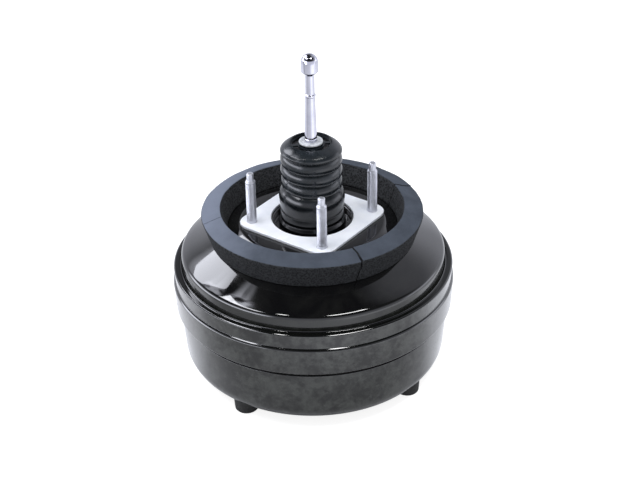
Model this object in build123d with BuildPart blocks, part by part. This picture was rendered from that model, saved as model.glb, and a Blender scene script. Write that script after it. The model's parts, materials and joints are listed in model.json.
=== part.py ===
"""A tandem vacuum brake booster, standing on the feet of its front shell.

The axis of the booster is Z. The front shell, which carries the master cylinder, is at the bottom.
The rear shell, with the studs for the bulkhead, the dust boot and the pedal rod, is at the top.
The origin is on the axis, at the height of the feet's lower faces. All lengths are in millimetres.
"""
import os
from math import cos, pi, radians, sin, sqrt, tan

from build123d import *

os.makedirs("parts", exist_ok=True)

# Pressed shells: radii of the bands; the middle band's top edge is the widest
shell_t = 1.6
body_r = 142.3
mid_taper = 1.5
front_step = 4.0
front_step_chamfer = 1.6
front_taper = 4.6
rim_step = 2.2
rim_flare = 0.9
rim_lip = 5.0
rim_round = 2.4
corner_round = 18.9

# Heights of the front shell's bands, from the feet up
foot_h = 9.5
front_band_h = 62.8
mid_band_h = 28.7
rim_band_h = 15.3

# Recess for the master cylinder in the middle of the front shell, with a flat pad for its flange
well_draft = 3.0
well_depth = 23.5
well_margin = 2.5
pad_rise = 1.0
pad_margin = 0.4
pilot_r = 20.0
cylinder_stud_circle_r = 40.0
cylinder_stud_r = 4.0
cylinder_stud_reach = 24.0
stud_plate_t = 3.0
stud_lobe_r = 9.5
seal_band = 6.0
seal_lip = 0.5
cylinder_stud_head_r = 6.5
cylinder_stud_head_t = 2.0

# Feet under the front shell's rounded corner
foot_r = 12.0
foot_inset = 16.7
foot_draft_deg = 4.0

# Rear shell: groove beside the rim, wall, dome, hub and the channel round the neck
rim_groove = 3.3
rear_wall_h = 15.7
shoulder_round = 7.0
dome_h = 30.8
hub_margin = 0.22
channel_w = 9.5
channel_depth = 7.4
neck_h = 12.0

# Mounting plate and its studs, which are pressed in by their wider necks: 3-3/8 inch square pattern
stud_spacing = 85.7
stud_r = 5.0
stud_neck = 0.4
stud_reach = 54.0
dog_r = 3.5
dog_h = 8.0
stud_head_r = 8.5
stud_head_t = 3.0
plate_edge = 12.65
plate_corner_r = 15.0
plate_t = 3.0
plate_hole_gap = 2.0

# Foam seal: section and the three slits in it
foam_clear = 12.0
foam_foot_w = 18.0
foam_h = 26.9
foam_lean_deg = 17.3
foam_top_w = 19.7
foam_slit_w = 1.2
foam_slit_web = 4.0
foam_slit_degs = (-129.5, -29.5, 60.3)

# Travel of the moving parts
stroke = 36.0
valve_travel = 1.5
rod_tilt_deg = 3.0

# Clearances
run_gap = 0.1
fit_gap = 0.1
seat_gap = 0.3

# Diaphragms, their plates and the centre plate between the two chambers
divider_t = 1.4
divider_foot_w = 11.7
divider_slope_w = 26.0
divider_rise = 17.8
divider_collar_h = 6.6
bearing_w = 4.4
bearing_ring_t = 2.0
bearing_ring_gap = 1.0
bead_h = 4.9
bead_w = 6.1
membrane_t = 1.2
roll_drop = 7.0
disc_t = 1.5
disc_edge_gap = 29.1
disc_cone_w = 26.0
disc_cone_h = 12.5
front_disc_skirt = 9.5
rear_disc_skirt = 6.0
front_disc_gap = 5.1
rear_disc_gap = 3.2

# Valve body
tail_r = 23.5
tail_wall = 3.0
tail_spare = 39.5
hub_body_r = 26.0
hub_nose_r = 23.0
hub_nose_h = 15.5
valve_flange_r = 36.0
valve_flange_t = 3.0
reaction_bore_r = 18.3
reaction_bore_h = 16.0
filter_bore_floor = 17.5
seat_recess_r = 15.0
seat_recess_h = 8.0
retainer_w = 8.5
retainer_t = 4.0

# Valve plunger, its key and the ball end of the input rod
plunger_r = 8.1
plunger_flange_r = 10.0
plunger_flange_t = 3.9
flange_recess_gap = 1.2
flange_recess_room = 1.0
ball_r = 5.5
ball_depth = 7.9
socket_mouth_r = 4.6
ball_neck_r = 3.4
key_t = 3.0
key_w = 18.0
key_overhang = 5.0
key_drop = 4.0
key_waist_r = 5.5
key_back_r = 9.0

# Vacuum ports along the hub of the valve body
port_circle_r = 18.0
port_t = 3.6
port_w = 8.0
port_floor = 1.5
port_mouth_h = 3.5

# Poppet, springs, filter and silencer in the tail of the valve body
poppet_face_t = 3.0
poppet_face_r = 14.6
poppet_bore_r = 8.8
poppet_wall = 1.5
poppet_h = 14.0
poppet_bead_h = 4.0
poppet_retainer_t = 2.0
poppet_retainer_bore_r = 10.6
rod_spring_r = 12.5
rod_spring_h = 27.0
rod_spring_wire_r = 0.8
rod_spring_turns = 5
poppet_spring_r = 11.6
poppet_spring_wire_r = 0.5
poppet_spring_turns = 3
silencer_h = 13.0
filter_h = 15.0
filter_room = 1.5
filter_gap = 1.0

# Input rod above the ball
rod_inner_r = 5.0
spring_collar_r = 14.2
spring_collar_t = 2.0
rod_washer_r = 11.75
rod_washer_t = 1.6
rod_washer_rise = 1.3
rod_neck_h = 3.0
rod_collar_r = 6.25
rod_collar_h = 2.8
rod_root_r = 6.0
rod_mid_r = 5.0
rod_taper_h = 37.0
rod_step_h = 7.0
rod_lug_r = 5.4
rod_lug_h = 3.0
rod_end_r = 4.5
rod_end_h = 20.0
head_r = 8.25
head_chamfer = 3.0
head_side_h = 9.75

# Output rod, its reaction disc and adjustable tip
reaction_disc_h = 7.3
cup_wall = 2.1
cup_floor_t = 4.0
output_rod_r = 6.0
output_rod_h = 28.5
tip_stem_r = 3.0
tip_stem_h = 12.0
tip_hex_r = 5.2
tip_hex_h = 6.0
tip_nose_r = 4.5
tip_nose_h = 8.0

# Return spring of the power piston
return_wire_r = 2.0
return_front_r = 52.5
return_rear_r = 36.0
return_turns = 5

# Dust boot; its foot is given as radii beyond the neck and heights above the channel
boot_wall = 1.6
boot_clear = 5.3
boot_ridge_h = 1.4
boot_ridges = 3
boot_bead_w = 4.0
boot_bead_h = 8.8
boot_foot = ((1.5, 12.0), (2.3, 15.3), (1.5, 20.9), (2.7, 30.0), (2.7, 34.5), (-0.3, 44.5))
boot_rim_drop = 3.1
boot_rim_h = 3.5
boot_mouth_step = 1.0
boot_mouth_w = 1.4
boot_mouth_lip = 1.7
boot_end_rise = 1.8
boot_end_t = 1.7
boot_end_bore_r = 7.6
boot_vent_in_r = 13.2
boot_vent_out_r = 18.6
boot_vent_deg = 58.0
boot_vents = 4

# Vacuum check valve and its grommet, in the floor of the recess
valve_gap = 1.0
grommet_hole_r = 9.0
grommet_flange_r = 12.5
grommet_outer_t = 3.0
grommet_inner_t = 3.4
grommet_inner_r = 11.5
check_stub_rise = 2.0
check_stub_r = 6.0
check_stub_bore_r = 3.6
check_cap_r = 12.0
check_cap_t = 3.0
check_spring_room = 3.8
check_wall = 2.0
nipple_r = 5.0
nipple_bore_r = 3.0
nipple_h = 12.0
nipple_barb = 0.6
nipple_barb_h = 3.0
nipple_land_h = 4.0
check_disc_r = 7.6
check_disc_t = 1.6
check_lift = 1.5
check_spring_r = 5.4
check_spring_wire_r = 0.4
check_spring_turns = 3


def parallel(path, gap):
    """The path moved by gap to the right of its own direction, with mitred corners."""
    moved = []
    for i, (r, z) in enumerate(path):
        normals = []
        for a, b in zip(path[max(i - 1, 0):i + 1], path[max(i, 1):i + 2]):
            run = sqrt((b[0] - a[0]) ** 2 + (b[1] - a[1]) ** 2)
            normals.append(((b[1] - a[1]) / run, (a[0] - b[0]) / run))
        nr = sum(n[0] for n in normals) / len(normals)
        nz = sum(n[1] for n in normals) / len(normals)
        scale = gap / (nr * nr + nz * nz)
        moved.append((r + nr * scale, z + nz * scale))
    return moved


def sheet(path, thickness):
    """Outline of a sheet of one thickness that lies to the right of the path."""
    return path + parallel(path, thickness)[::-1]


def ring(r_in, r_out, z_low, z_high):
    """Outline of a plain ring."""
    return [(r_in, z_low), (r_out, z_low), (r_out, z_high), (r_in, z_high)]


def corner_at(r, z):
    """The corners of the sketch in hand that lie at one point."""
    return [v for v in vertices() if abs(v.X - r) < 1e-3 and abs(v.Y - z) < 1e-3]


def coil(r_low, r_high, z_low, z_high, turns, steps=12, centre=(0, 0)):
    """Points along the wire of a spring that stands on Z."""
    points = []
    for i in range(turns * steps + 1):
        part = i / (turns * steps)
        turn = 2 * pi * i / steps
        r = r_low + (r_high - r_low) * part
        z = z_low + (z_high - z_low) * part
        points.append(Vector(centre[0] + r * cos(turn), centre[1] + r * sin(turn), z))
    return points


# Radii and heights of the shells
mid_low_r = body_r - mid_taper
front_r = mid_low_r - front_step
front_low_r = front_r - front_taper
rim_low_r = body_r - rim_step
rim_r = rim_low_r + rim_flare
lip_r = rim_r - rim_lip
rear_wall_r = lip_r - rim_groove
plate_half = stud_spacing / 2 + plate_edge
hub_r = sqrt(2) * (plate_half - plate_corner_r) + plate_corner_r + hub_margin
neck_r = tail_r + bearing_w + shell_t
channel_r = neck_r + channel_w
face_z = foot_h
mid_z = face_z + front_band_h
mid_top_z = mid_z + mid_band_h
rim_low_z = mid_top_z + rim_step
rim_z = rim_low_z + rim_band_h
pad_r = return_front_r + return_wire_r + pad_margin + shell_t
valve_circle_r = pad_r + grommet_flange_r + valve_gap
well_floor_r = valve_circle_r + grommet_flange_r + well_margin
well_r = well_floor_r + well_draft
face_round = min(corner_round, front_low_r - well_r - 2 * shell_t)
well_z = face_z + well_depth
well_floor_z = well_z + shell_t
pad_z = well_z - pad_rise
pad_floor_z = pad_z + shell_t
flange_z = rim_z - shell_t
shoulder_z = flange_z + rear_wall_h
hub_z = shoulder_z + dome_h
plate_z = hub_z + plate_t
channel_z = hub_z - channel_depth
neck_z = channel_z + neck_h
neck_bore_r = neck_r - shell_t

front_path = [
    (lip_r, rim_z),
    (rim_r, rim_z),
    (rim_low_r, rim_low_z),
    (body_r, mid_top_z),
    (mid_low_r, mid_z),
    (front_r, mid_z),
    (front_low_r, face_z),
    (well_r, face_z),
    (well_floor_r, well_z),
    (pad_r, well_z),
    (pad_r, pad_z),
    (pilot_r, pad_z),
]
front_inside = parallel(front_path, shell_t)

# Seats of the diaphragm beads: the front shell's inner ledge, and the centre plate's upper flange,
# which stops just under the slope between the shell's middle band and its rim band
ledge_r = mid_low_r - shell_t - fit_gap
flange_r = rim_low_r - shell_t - fit_gap
front_bead_z = mid_z + shell_t
divider_web_z = front_bead_z + bead_h + divider_t
divider_flange_z = rim_low_z + rim_low_r - ledge_r - sqrt(2) * (shell_t + fit_gap)
divider_foot_r = ledge_r - divider_t - divider_foot_w
divider_flat_r = divider_foot_r - divider_slope_w
rear_bead_z = divider_flange_z
rear_skirt_z = rear_bead_z + bead_h
divider_z = divider_web_z + divider_rise
divider_under_z = divider_z - divider_t

rear_path = [
    (flange_r, rear_skirt_z),
    (flange_r, flange_z),
    (rear_wall_r, flange_z),
    (rear_wall_r, shoulder_z),
    (hub_r, hub_z),
    (channel_r, hub_z),
    (channel_r, channel_z),
    (neck_r, channel_z),
    (neck_r, neck_z),
]

# Power piston: heights of its plates and of the valve body
front_disc_z = divider_under_z - front_disc_gap - membrane_t
rear_disc_z = channel_z - shell_t - rear_disc_gap - membrane_t
nose_z = front_disc_z - disc_t
hub_low_z = front_disc_z - hub_nose_h
flange_low_z = rear_disc_z - disc_t - valve_flange_t
flange_top_z = rear_disc_z - disc_t
tail_z = neck_z + stroke + tail_spare
tail_bore_r = tail_r - tail_wall
reaction_z = hub_low_z + reaction_bore_h
seat_z = flange_top_z + filter_bore_floor - seat_recess_h
filter_floor_z = flange_top_z + filter_bore_floor
plunger_z = seat_z - fit_gap
ball_z = plunger_z - ball_depth
plunger_bore_r = plunger_r + run_gap
flange_recess_r = plunger_flange_r + flange_recess_gap
flange_recess_z = plunger_z - plunger_flange_t - valve_travel - flange_recess_room
key_z = flange_low_z - key_drop

# Front shell, with the rolled rim that holds the rear shell
with BuildPart() as front_shell:
    with BuildSketch(Plane.XZ):
        with BuildLine():
            Polyline(*sheet(front_path, shell_t), close=True)
        make_face()
        fillet(corner_at(*front_path[1]), rim_round)
        chamfer(corner_at(*front_path[4]), front_step_chamfer)
        fillet(corner_at(*front_path[6]), face_round)
        fillet(corner_at(*front_inside[6]), face_round - shell_t)
    revolve(axis=Axis.Z)
    with BuildSketch(Plane.XY.offset(pad_z)):
        with PolarLocations(cylinder_stud_circle_r, 2):
            Circle(cylinder_stud_r + stud_neck + fit_gap)
    extrude(amount=shell_t, mode=Mode.SUBTRACT)
    with BuildSketch(Plane.XY.offset(well_z)):
        with Locations((0, valve_circle_r)):
            Circle(grommet_hole_r)
    extrude(amount=shell_t, mode=Mode.SUBTRACT)
front_shell.part.label = "front_shell"
export_step(front_shell.part, "parts/front_shell.step")

# Feet, whose tops follow the rounded corner of the shell
with BuildPart() as support_feet:
    with BuildSketch(Plane.XY):
        with PolarLocations(front_low_r - foot_inset, 4):
            Circle(foot_r)
    extrude(amount=foot_h + face_round, taper=-foot_draft_deg)
    with BuildSketch(Plane.XZ):
        with BuildLine():
            Polyline((0, face_z), *front_path[7:5:-1], front_path[5], (0, mid_z), close=True)
        make_face()
        fillet(corner_at(*front_path[6]), face_round)
    revolve(axis=Axis.Z, mode=Mode.SUBTRACT)
support_feet.part.label = "support_feet"
export_step(support_feet.part, "parts/support_feet.step")

# Rear shell: flange under the rim, dome, flat hub, channel and neck
with BuildPart() as rear_shell:
    with BuildSketch(Plane.XZ):
        with BuildLine():
            Polyline(*sheet(rear_path, -shell_t), close=True)
        make_face()
        fillet(corner_at(*rear_path[3]), shoulder_round)
    revolve(axis=Axis.Z)
    with BuildSketch(Plane.XY.offset(hub_z - shell_t)):
        with GridLocations(stud_spacing, stud_spacing, 2, 2):
            Circle(stud_r + stud_neck + fit_gap)
    extrude(amount=shell_t, mode=Mode.SUBTRACT)
rear_shell.part.label = "rear_shell"
export_step(rear_shell.part, "parts/rear_shell.step")

# Square mounting plate on the hub of the rear shell
with BuildPart() as mounting_plate:
    with BuildSketch(Plane.XY.offset(hub_z)):
        RectangleRounded(2 * plate_half, 2 * plate_half, plate_corner_r)
        Circle(channel_r + plate_hole_gap, mode=Mode.SUBTRACT)
        with GridLocations(stud_spacing, stud_spacing, 2, 2):
            Circle(stud_r + stud_neck + fit_gap, mode=Mode.SUBTRACT)
    extrude(amount=plate_t)
mounting_plate.part.label = "mounting_plate"
export_step(mounting_plate.part, "parts/mounting_plate.step")

# Mounting studs: heads inside the shell, necks in it and the plate, threads and dog points outside
with BuildPart() as mounting_studs:
    with BuildSketch(Plane.XY.offset(hub_z - shell_t - stud_head_t)):
        with GridLocations(stud_spacing, stud_spacing, 2, 2):
            Circle(stud_head_r)
    extrude(amount=stud_head_t)
    with BuildSketch(Plane.XY.offset(hub_z - shell_t)):
        with GridLocations(stud_spacing, stud_spacing, 2, 2):
            Circle(stud_r + stud_neck)
    extrude(amount=shell_t + plate_t)
    with BuildSketch(Plane.XY.offset(plate_z)):
        with GridLocations(stud_spacing, stud_spacing, 2, 2):
            Circle(stud_r)
    extrude(amount=stud_reach - dog_h)
    with BuildSketch(Plane.XY.offset(plate_z + stud_reach - dog_h)):
        with GridLocations(stud_spacing, stud_spacing, 2, 2):
            Circle(dog_r)
    extrude(amount=dog_h)
mounting_studs.part.label = "mounting_studs"
export_step(mounting_studs.part, "parts/mounting_studs.step")

# Foam seal: leans outward and stands on the slope of the dome
foam_inner_r = hub_r + foam_clear
foam_outer_r = foam_inner_r + foam_foot_w
dome_slope = dome_h / (rear_wall_r - hub_r)
foam_lean = foam_h * sin(radians(foam_lean_deg))
foam_rise = foam_h * cos(radians(foam_lean_deg))
foam_foot_z = hub_z - (foam_outer_r - hub_r) * dome_slope
foam_heel_z = hub_z - (foam_inner_r - hub_r) * dome_slope
foam_top_r = foam_outer_r + foam_lean
foam_top_z = foam_foot_z + foam_rise
foam_crest_r = foam_top_r - foam_top_w * cos(radians(foam_lean_deg))
foam_crest_z = foam_top_z + foam_top_w * sin(radians(foam_lean_deg))
with BuildPart() as foam_seal:
    with BuildSketch(Plane.XZ):
        with BuildLine():
            Polyline(
                (foam_outer_r, foam_foot_z),
                (foam_top_r, foam_top_z),
                (foam_crest_r, foam_crest_z),
                (foam_inner_r, foam_heel_z),
                close=True,
            )
        make_face()
    revolve(axis=Axis.Z)
    for slit_deg in foam_slit_degs:
        with BuildSketch(Plane.XZ.rotated((0, 0, slit_deg))):
            with BuildLine():
                Polyline(
                    (foam_outer_r + foam_slit_web, foam_foot_z + foam_slit_web * 3),
                    (foam_top_r + foam_slit_web, foam_crest_z),
                    (foam_crest_r - foam_slit_web, foam_crest_z + foam_slit_web),
                    (foam_inner_r - foam_slit_web, foam_heel_z + foam_slit_web),
                    close=True,
                )
            make_face()
        extrude(amount=foam_slit_w / 2, both=True, mode=Mode.SUBTRACT)
foam_seal.part.label = "foam_seal"
export_step(foam_seal.part, "parts/foam_seal.step")

# Centre plate between the two vacuum chambers: its web rests on one bead, its flange carries the other
with BuildPart() as centre_plate:
    with BuildSketch(Plane.XZ):
        with BuildLine():
            Polyline(
                *sheet(
                    [
                        (flange_r - bead_w + seat_gap, divider_flange_z - divider_t),
                        (ledge_r - divider_t, divider_flange_z - divider_t),
                        (ledge_r - divider_t, divider_web_z),
                        (divider_foot_r, divider_web_z),
                        (divider_flat_r, divider_z),
                        (hub_body_r + run_gap + divider_t + seal_band, divider_z),
                        (hub_body_r + run_gap + divider_t + seal_band, divider_z + divider_collar_h),
                    ],
                    -divider_t,
                ),
                close=True,
            )
        make_face()
    revolve(axis=Axis.Z)
centre_plate.part.label = "centre_plate"
export_step(centre_plate.part, "parts/centre_plate.step")

# Seal round the hub, pressed into the collar of the centre plate
collar_bore_r = hub_body_r + run_gap + seal_band
with BuildPart() as centre_seal:
    with BuildSketch(Plane.XZ):
        with BuildLine():
            Polyline(
                *ring(
                    hub_body_r + run_gap,
                    collar_bore_r,
                    divider_under_z,
                    divider_z + divider_collar_h - fit_gap,
                ),
                close=True,
            )
        make_face()
    revolve(axis=Axis.Z)
centre_seal.part.label = "centre_seal"
export_step(centre_seal.part, "parts/centre_seal.step")

# Bearing seal in the neck, round the tail of the valve body, and the ring that keeps it there
bearing_low_z = channel_z - shell_t
bearing_top_z = neck_z - seat_gap - bearing_ring_t
with BuildPart() as bearing_seal:
    with BuildSketch(Plane.XZ):
        with BuildLine():
            Polyline(*ring(tail_r + run_gap, neck_bore_r, bearing_low_z, bearing_top_z), close=True)
        make_face()
    revolve(axis=Axis.Z)
bearing_seal.part.label = "bearing_seal"
export_step(bearing_seal.part, "parts/bearing_seal.step")

with BuildPart() as bearing_retainer:
    with BuildSketch(Plane.XZ):
        with BuildLine():
            Polyline(
                *ring(
                    tail_r + bearing_ring_gap,
                    neck_bore_r,
                    bearing_top_z,
                    bearing_top_z + bearing_ring_t,
                ),
                close=True,
            )
        make_face()
    revolve(axis=Axis.Z)
bearing_retainer.part.label = "bearing_retainer"
export_step(bearing_retainer.part, "parts/bearing_retainer.step")

# Valve body: tail tube, flange, hub and nose, with its stepped bore
with BuildPart() as valve_body:
    with BuildSketch(Plane.XZ):
        with BuildLine():
            Polyline(
                (reaction_bore_r, hub_low_z),
                (hub_nose_r, hub_low_z),
                (hub_nose_r, front_disc_z),
                (hub_body_r, front_disc_z),
                (hub_body_r, flange_low_z),
                (valve_flange_r, flange_low_z),
                (valve_flange_r, flange_top_z),
                (tail_r, flange_top_z),
                (tail_r, tail_z),
                (tail_bore_r, tail_z),
                (tail_bore_r, filter_floor_z),
                (seat_recess_r, filter_floor_z),
                (seat_recess_r, seat_z),
                (flange_recess_r, seat_z),
                (flange_recess_r, flange_recess_z),
                (plunger_bore_r, flange_recess_z),
                (plunger_bore_r, reaction_z),
                (reaction_bore_r, reaction_z),
                close=True,
            )
        make_face()
    revolve(axis=Axis.Z)
    with BuildSketch(Plane.XY.offset(key_z - fit_gap)):
        with Locations((-key_back_r - fit_gap, 0)):
            Rectangle(
                key_back_r + hub_body_r + key_overhang,
                key_w + 2 * fit_gap,
                align=(Align.MIN, Align.CENTER),
            )
    extrude(amount=key_t + 2 * fit_gap, mode=Mode.SUBTRACT)
    with BuildSketch(Plane.XY.offset(reaction_z + port_floor)):
        with PolarLocations(port_circle_r, 2, start_angle=90):
            Rectangle(port_t, port_w)
    extrude(until=Until.LAST, mode=Mode.SUBTRACT)
    with BuildSketch(Plane.XY.offset(reaction_z + port_floor)):
        with PolarLocations(port_circle_r, 2, start_angle=90):
            Rectangle(2 * (hub_body_r - port_circle_r) + port_t, port_w, align=(Align.MIN, Align.CENTER))
    extrude(amount=port_mouth_h, mode=Mode.SUBTRACT)
valve_body.part.label = "valve_body"
export_step(valve_body.part, "parts/valve_body.step")

# Plates of the two diaphragms and the rings that hold them on the valve body
disc_edge_r = ledge_r - disc_edge_gap
disc_flat_r = disc_edge_r - disc_cone_w
disc_profile = [
    (disc_flat_r, 0.0),
    (disc_edge_r, -disc_cone_h),
]
front_disc_path = [(hub_nose_r + fit_gap, front_disc_z)]
front_disc_path += [(r, front_disc_z + z) for r, z in disc_profile]
front_disc_path += [(disc_edge_r, front_disc_z - disc_cone_h - front_disc_skirt)]
rear_disc_path = [(tail_r + fit_gap, rear_disc_z)]
rear_disc_path += [(r, rear_disc_z + z) for r, z in disc_profile]
rear_disc_path += [(disc_edge_r, rear_disc_z - disc_cone_h - rear_disc_skirt)]

with BuildPart() as front_diaphragm_plate:
    with BuildSketch(Plane.XZ):
        with BuildLine():
            Polyline(*sheet(front_disc_path, disc_t), close=True)
        make_face()
    revolve(axis=Axis.Z)
front_diaphragm_plate.part.label = "front_diaphragm_plate"
export_step(front_diaphragm_plate.part, "parts/front_diaphragm_plate.step")

with BuildPart() as rear_diaphragm_plate:
    with BuildSketch(Plane.XZ):
        with BuildLine():
            Polyline(*sheet(rear_disc_path, disc_t), close=True)
        make_face()
    revolve(axis=Axis.Z)
rear_diaphragm_plate.part.label = "rear_diaphragm_plate"
export_step(rear_diaphragm_plate.part, "parts/rear_diaphragm_plate.step")


def diaphragm_outline(disc_path, hub_gap, bead_out_r, bead_z):
    """Outline of a rolling diaphragm: over its plate, down, round the roll and up to its bead."""
    over = [(disc_path[0][0] + hub_gap, disc_path[0][1])] + disc_path[1:]
    roll_z = bead_z - roll_drop
    bead_in_r = bead_out_r - bead_w
    inner_r = disc_edge_r + membrane_t
    path = over + [
        (inner_r, roll_z),
        (bead_in_r - membrane_t, roll_z),
        (bead_in_r, bead_z),
    ]
    skin = parallel(path, -membrane_t)
    bead = [(bead_out_r, bead_z), (bead_out_r, bead_z + bead_h), (bead_in_r, bead_z + bead_h)]
    return path + bead + skin[-2::-1]


# Rolling diaphragms, with their outer beads clamped in the housing
with BuildPart() as front_diaphragm:
    with BuildSketch(Plane.XZ):
        with BuildLine():
            Polyline(
                *diaphragm_outline(front_disc_path, hub_body_r - hub_nose_r, ledge_r, front_bead_z),
                close=True,
            )
        make_face()
    revolve(axis=Axis.Z)
front_diaphragm.part.label = "front_diaphragm"
export_step(front_diaphragm.part, "parts/front_diaphragm.step")

with BuildPart() as rear_diaphragm:
    with BuildSketch(Plane.XZ):
        with BuildLine():
            Polyline(
                *diaphragm_outline(rear_disc_path, retainer_w, flange_r, rear_bead_z),
                close=True,
            )
        make_face()
    revolve(axis=Axis.Z)
rear_diaphragm.part.label = "rear_diaphragm"
export_step(rear_diaphragm.part, "parts/rear_diaphragm.step")

# Rings on the valve body that hold the plates and the inner beads
with BuildPart() as front_plate_retainer:
    with BuildSketch(Plane.XZ):
        with BuildLine():
            Polyline(
                *ring(hub_nose_r + fit_gap, hub_nose_r + retainer_w, nose_z - retainer_t, nose_z),
                close=True,
            )
        make_face()
    revolve(axis=Axis.Z)
front_plate_retainer.part.label = "front_plate_retainer"
export_step(front_plate_retainer.part, "parts/front_plate_retainer.step")

with BuildPart() as rear_plate_retainer:
    with BuildSketch(Plane.XZ):
        with BuildLine():
            Polyline(
                *ring(tail_r + fit_gap, tail_r + retainer_w, rear_disc_z, rear_disc_z + retainer_t),
                close=True,
            )
        make_face()
    revolve(axis=Axis.Z)
rear_plate_retainer.part.label = "rear_plate_retainer"
export_step(rear_plate_retainer.part, "parts/rear_plate_retainer.step")

# Valve plunger: seat flange, groove for the key and socket for the ball
reaction_top_z = reaction_z - fit_gap
plunger_low_z = reaction_top_z + valve_travel + seat_gap
socket_r = ball_r + run_gap
socket_rim_z = ball_z + sqrt(socket_r**2 - socket_mouth_r**2)
with BuildPart() as valve_plunger:
    with BuildSketch(Plane.XZ):
        with BuildLine():
            Polyline(
                (0, ball_z - socket_r),
                (0, plunger_low_z),
                (plunger_r, plunger_low_z),
                (plunger_r, key_z - fit_gap),
                (key_waist_r, key_z - fit_gap),
                (key_waist_r, key_z + key_t + valve_travel + fit_gap),
                (plunger_r, key_z + key_t + valve_travel + fit_gap),
                (plunger_r, plunger_z - plunger_flange_t),
                (plunger_flange_r, plunger_z - plunger_flange_t),
                (plunger_flange_r, plunger_z),
                (socket_mouth_r, plunger_z),
                (socket_mouth_r, socket_rim_z),
            )
            ThreePointArc(
                (socket_mouth_r, socket_rim_z),
                (socket_r, ball_z),
                (0, ball_z - socket_r),
            )
        make_face()
    revolve(axis=Axis.Z)
valve_plunger.part.label = "valve_plunger"
export_step(valve_plunger.part, "parts/valve_plunger.step")

# Forked key in the plunger's groove; it passes out through the hub
with BuildPart() as plunger_key:
    with BuildSketch(Plane.XY.offset(key_z)):
        with Locations((-key_back_r, 0)):
            Rectangle(
                key_back_r + hub_body_r + key_overhang,
                key_w,
                align=(Align.MIN, Align.CENTER),
            )
            Rectangle(
                key_back_r,
                2 * (key_waist_r + run_gap),
                align=(Align.MIN, Align.CENTER),
                mode=Mode.SUBTRACT,
            )
        Circle(key_waist_r + run_gap, mode=Mode.SUBTRACT)
    extrude(amount=key_t)
plunger_key.part.label = "plunger_key"
export_step(plunger_key.part, "parts/plunger_key.step")

# Poppet: face ring, thin tube and the bead clamped in the tail
poppet_z = seat_z + seat_gap
poppet_bead_z = poppet_z + poppet_h - poppet_bead_h
tail_fit_r = tail_bore_r - fit_gap
with BuildPart() as poppet_valve:
    with BuildSketch(Plane.XZ):
        with BuildLine():
            Polyline(
                (poppet_bore_r, poppet_z),
                (poppet_face_r, poppet_z),
                (poppet_face_r, poppet_bead_z),
                (tail_fit_r, poppet_bead_z),
                (tail_fit_r, poppet_bead_z + poppet_bead_h),
                (poppet_face_r - poppet_wall, poppet_bead_z + poppet_bead_h),
                (poppet_face_r - poppet_wall, poppet_z + poppet_face_t),
                (poppet_bore_r, poppet_z + poppet_face_t),
                close=True,
            )
        make_face()
    revolve(axis=Axis.Z)
poppet_valve.part.label = "poppet_valve"
export_step(poppet_valve.part, "parts/poppet_valve.step")

poppet_retainer_z = poppet_z + poppet_h
with BuildPart() as poppet_retainer:
    with BuildSketch(Plane.XZ):
        with BuildLine():
            Polyline(
                *ring(
                    poppet_retainer_bore_r,
                    tail_fit_r,
                    poppet_retainer_z,
                    poppet_retainer_z + poppet_retainer_t,
                ),
                close=True,
            )
        make_face()
    revolve(axis=Axis.Z)
poppet_retainer.part.label = "poppet_retainer"
export_step(poppet_retainer.part, "parts/poppet_retainer.step")

poppet_spring_seat = poppet_spring_wire_r + fit_gap
poppet_coil = coil(
    poppet_spring_r,
    poppet_spring_r,
    poppet_z + poppet_face_t + poppet_spring_seat,
    poppet_retainer_z - poppet_spring_seat,
    poppet_spring_turns,
)
with BuildPart() as poppet_spring:
    with BuildLine():
        Polyline(*poppet_coil)
    with BuildSketch(Plane(origin=poppet_coil[0], z_dir=poppet_coil[1] - poppet_coil[0])):
        RegularPolygon(poppet_spring_wire_r, 6)
    sweep(transition=Transition.RIGHT)
poppet_spring.part.label = "poppet_spring"
export_step(poppet_spring.part, "parts/poppet_spring.step")

# Return spring of the input rod, between the poppet's retainer and the rod's collar
rod_spring_low_z = poppet_retainer_z + poppet_retainer_t
spring_collar_z = rod_spring_low_z + rod_spring_h
rod_spring_seat = rod_spring_wire_r + fit_gap
rod_coil = coil(
    rod_spring_r,
    rod_spring_r,
    rod_spring_low_z + rod_spring_seat,
    spring_collar_z - rod_spring_seat,
    rod_spring_turns,
)
with BuildPart() as rod_return_spring:
    with BuildLine():
        Polyline(*rod_coil)
    with BuildSketch(Plane(origin=rod_coil[0], z_dir=rod_coil[1] - rod_coil[0])):
        RegularPolygon(rod_spring_wire_r, 6)
    sweep(transition=Transition.RIGHT)
rod_return_spring.part.label = "rod_return_spring"
export_step(rod_return_spring.part, "parts/rod_return_spring.step")

# Silencer and air filter, stacked in the end of the tail
filter_top_z = tail_z - filter_gap
filter_low_z = filter_top_z - filter_h
filter_bore_r = rod_inner_r + (filter_top_z - ball_z) * tan(radians(rod_tilt_deg)) + filter_room
with BuildPart() as air_filter:
    with BuildSketch(Plane.XZ):
        with BuildLine():
            Polyline(*ring(filter_bore_r, tail_fit_r, filter_low_z, filter_top_z), close=True)
        make_face()
    revolve(axis=Axis.Z)
air_filter.part.label = "air_filter"
export_step(air_filter.part, "parts/air_filter.step")

with BuildPart() as silencer:
    with BuildSketch(Plane.XZ):
        with BuildLine():
            Polyline(*ring(filter_bore_r, tail_fit_r, filter_low_z - silencer_h, filter_low_z), close=True)
        make_face()
    revolve(axis=Axis.Z)
silencer.part.label = "silencer"
export_step(silencer.part, "parts/silencer.step")

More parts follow.
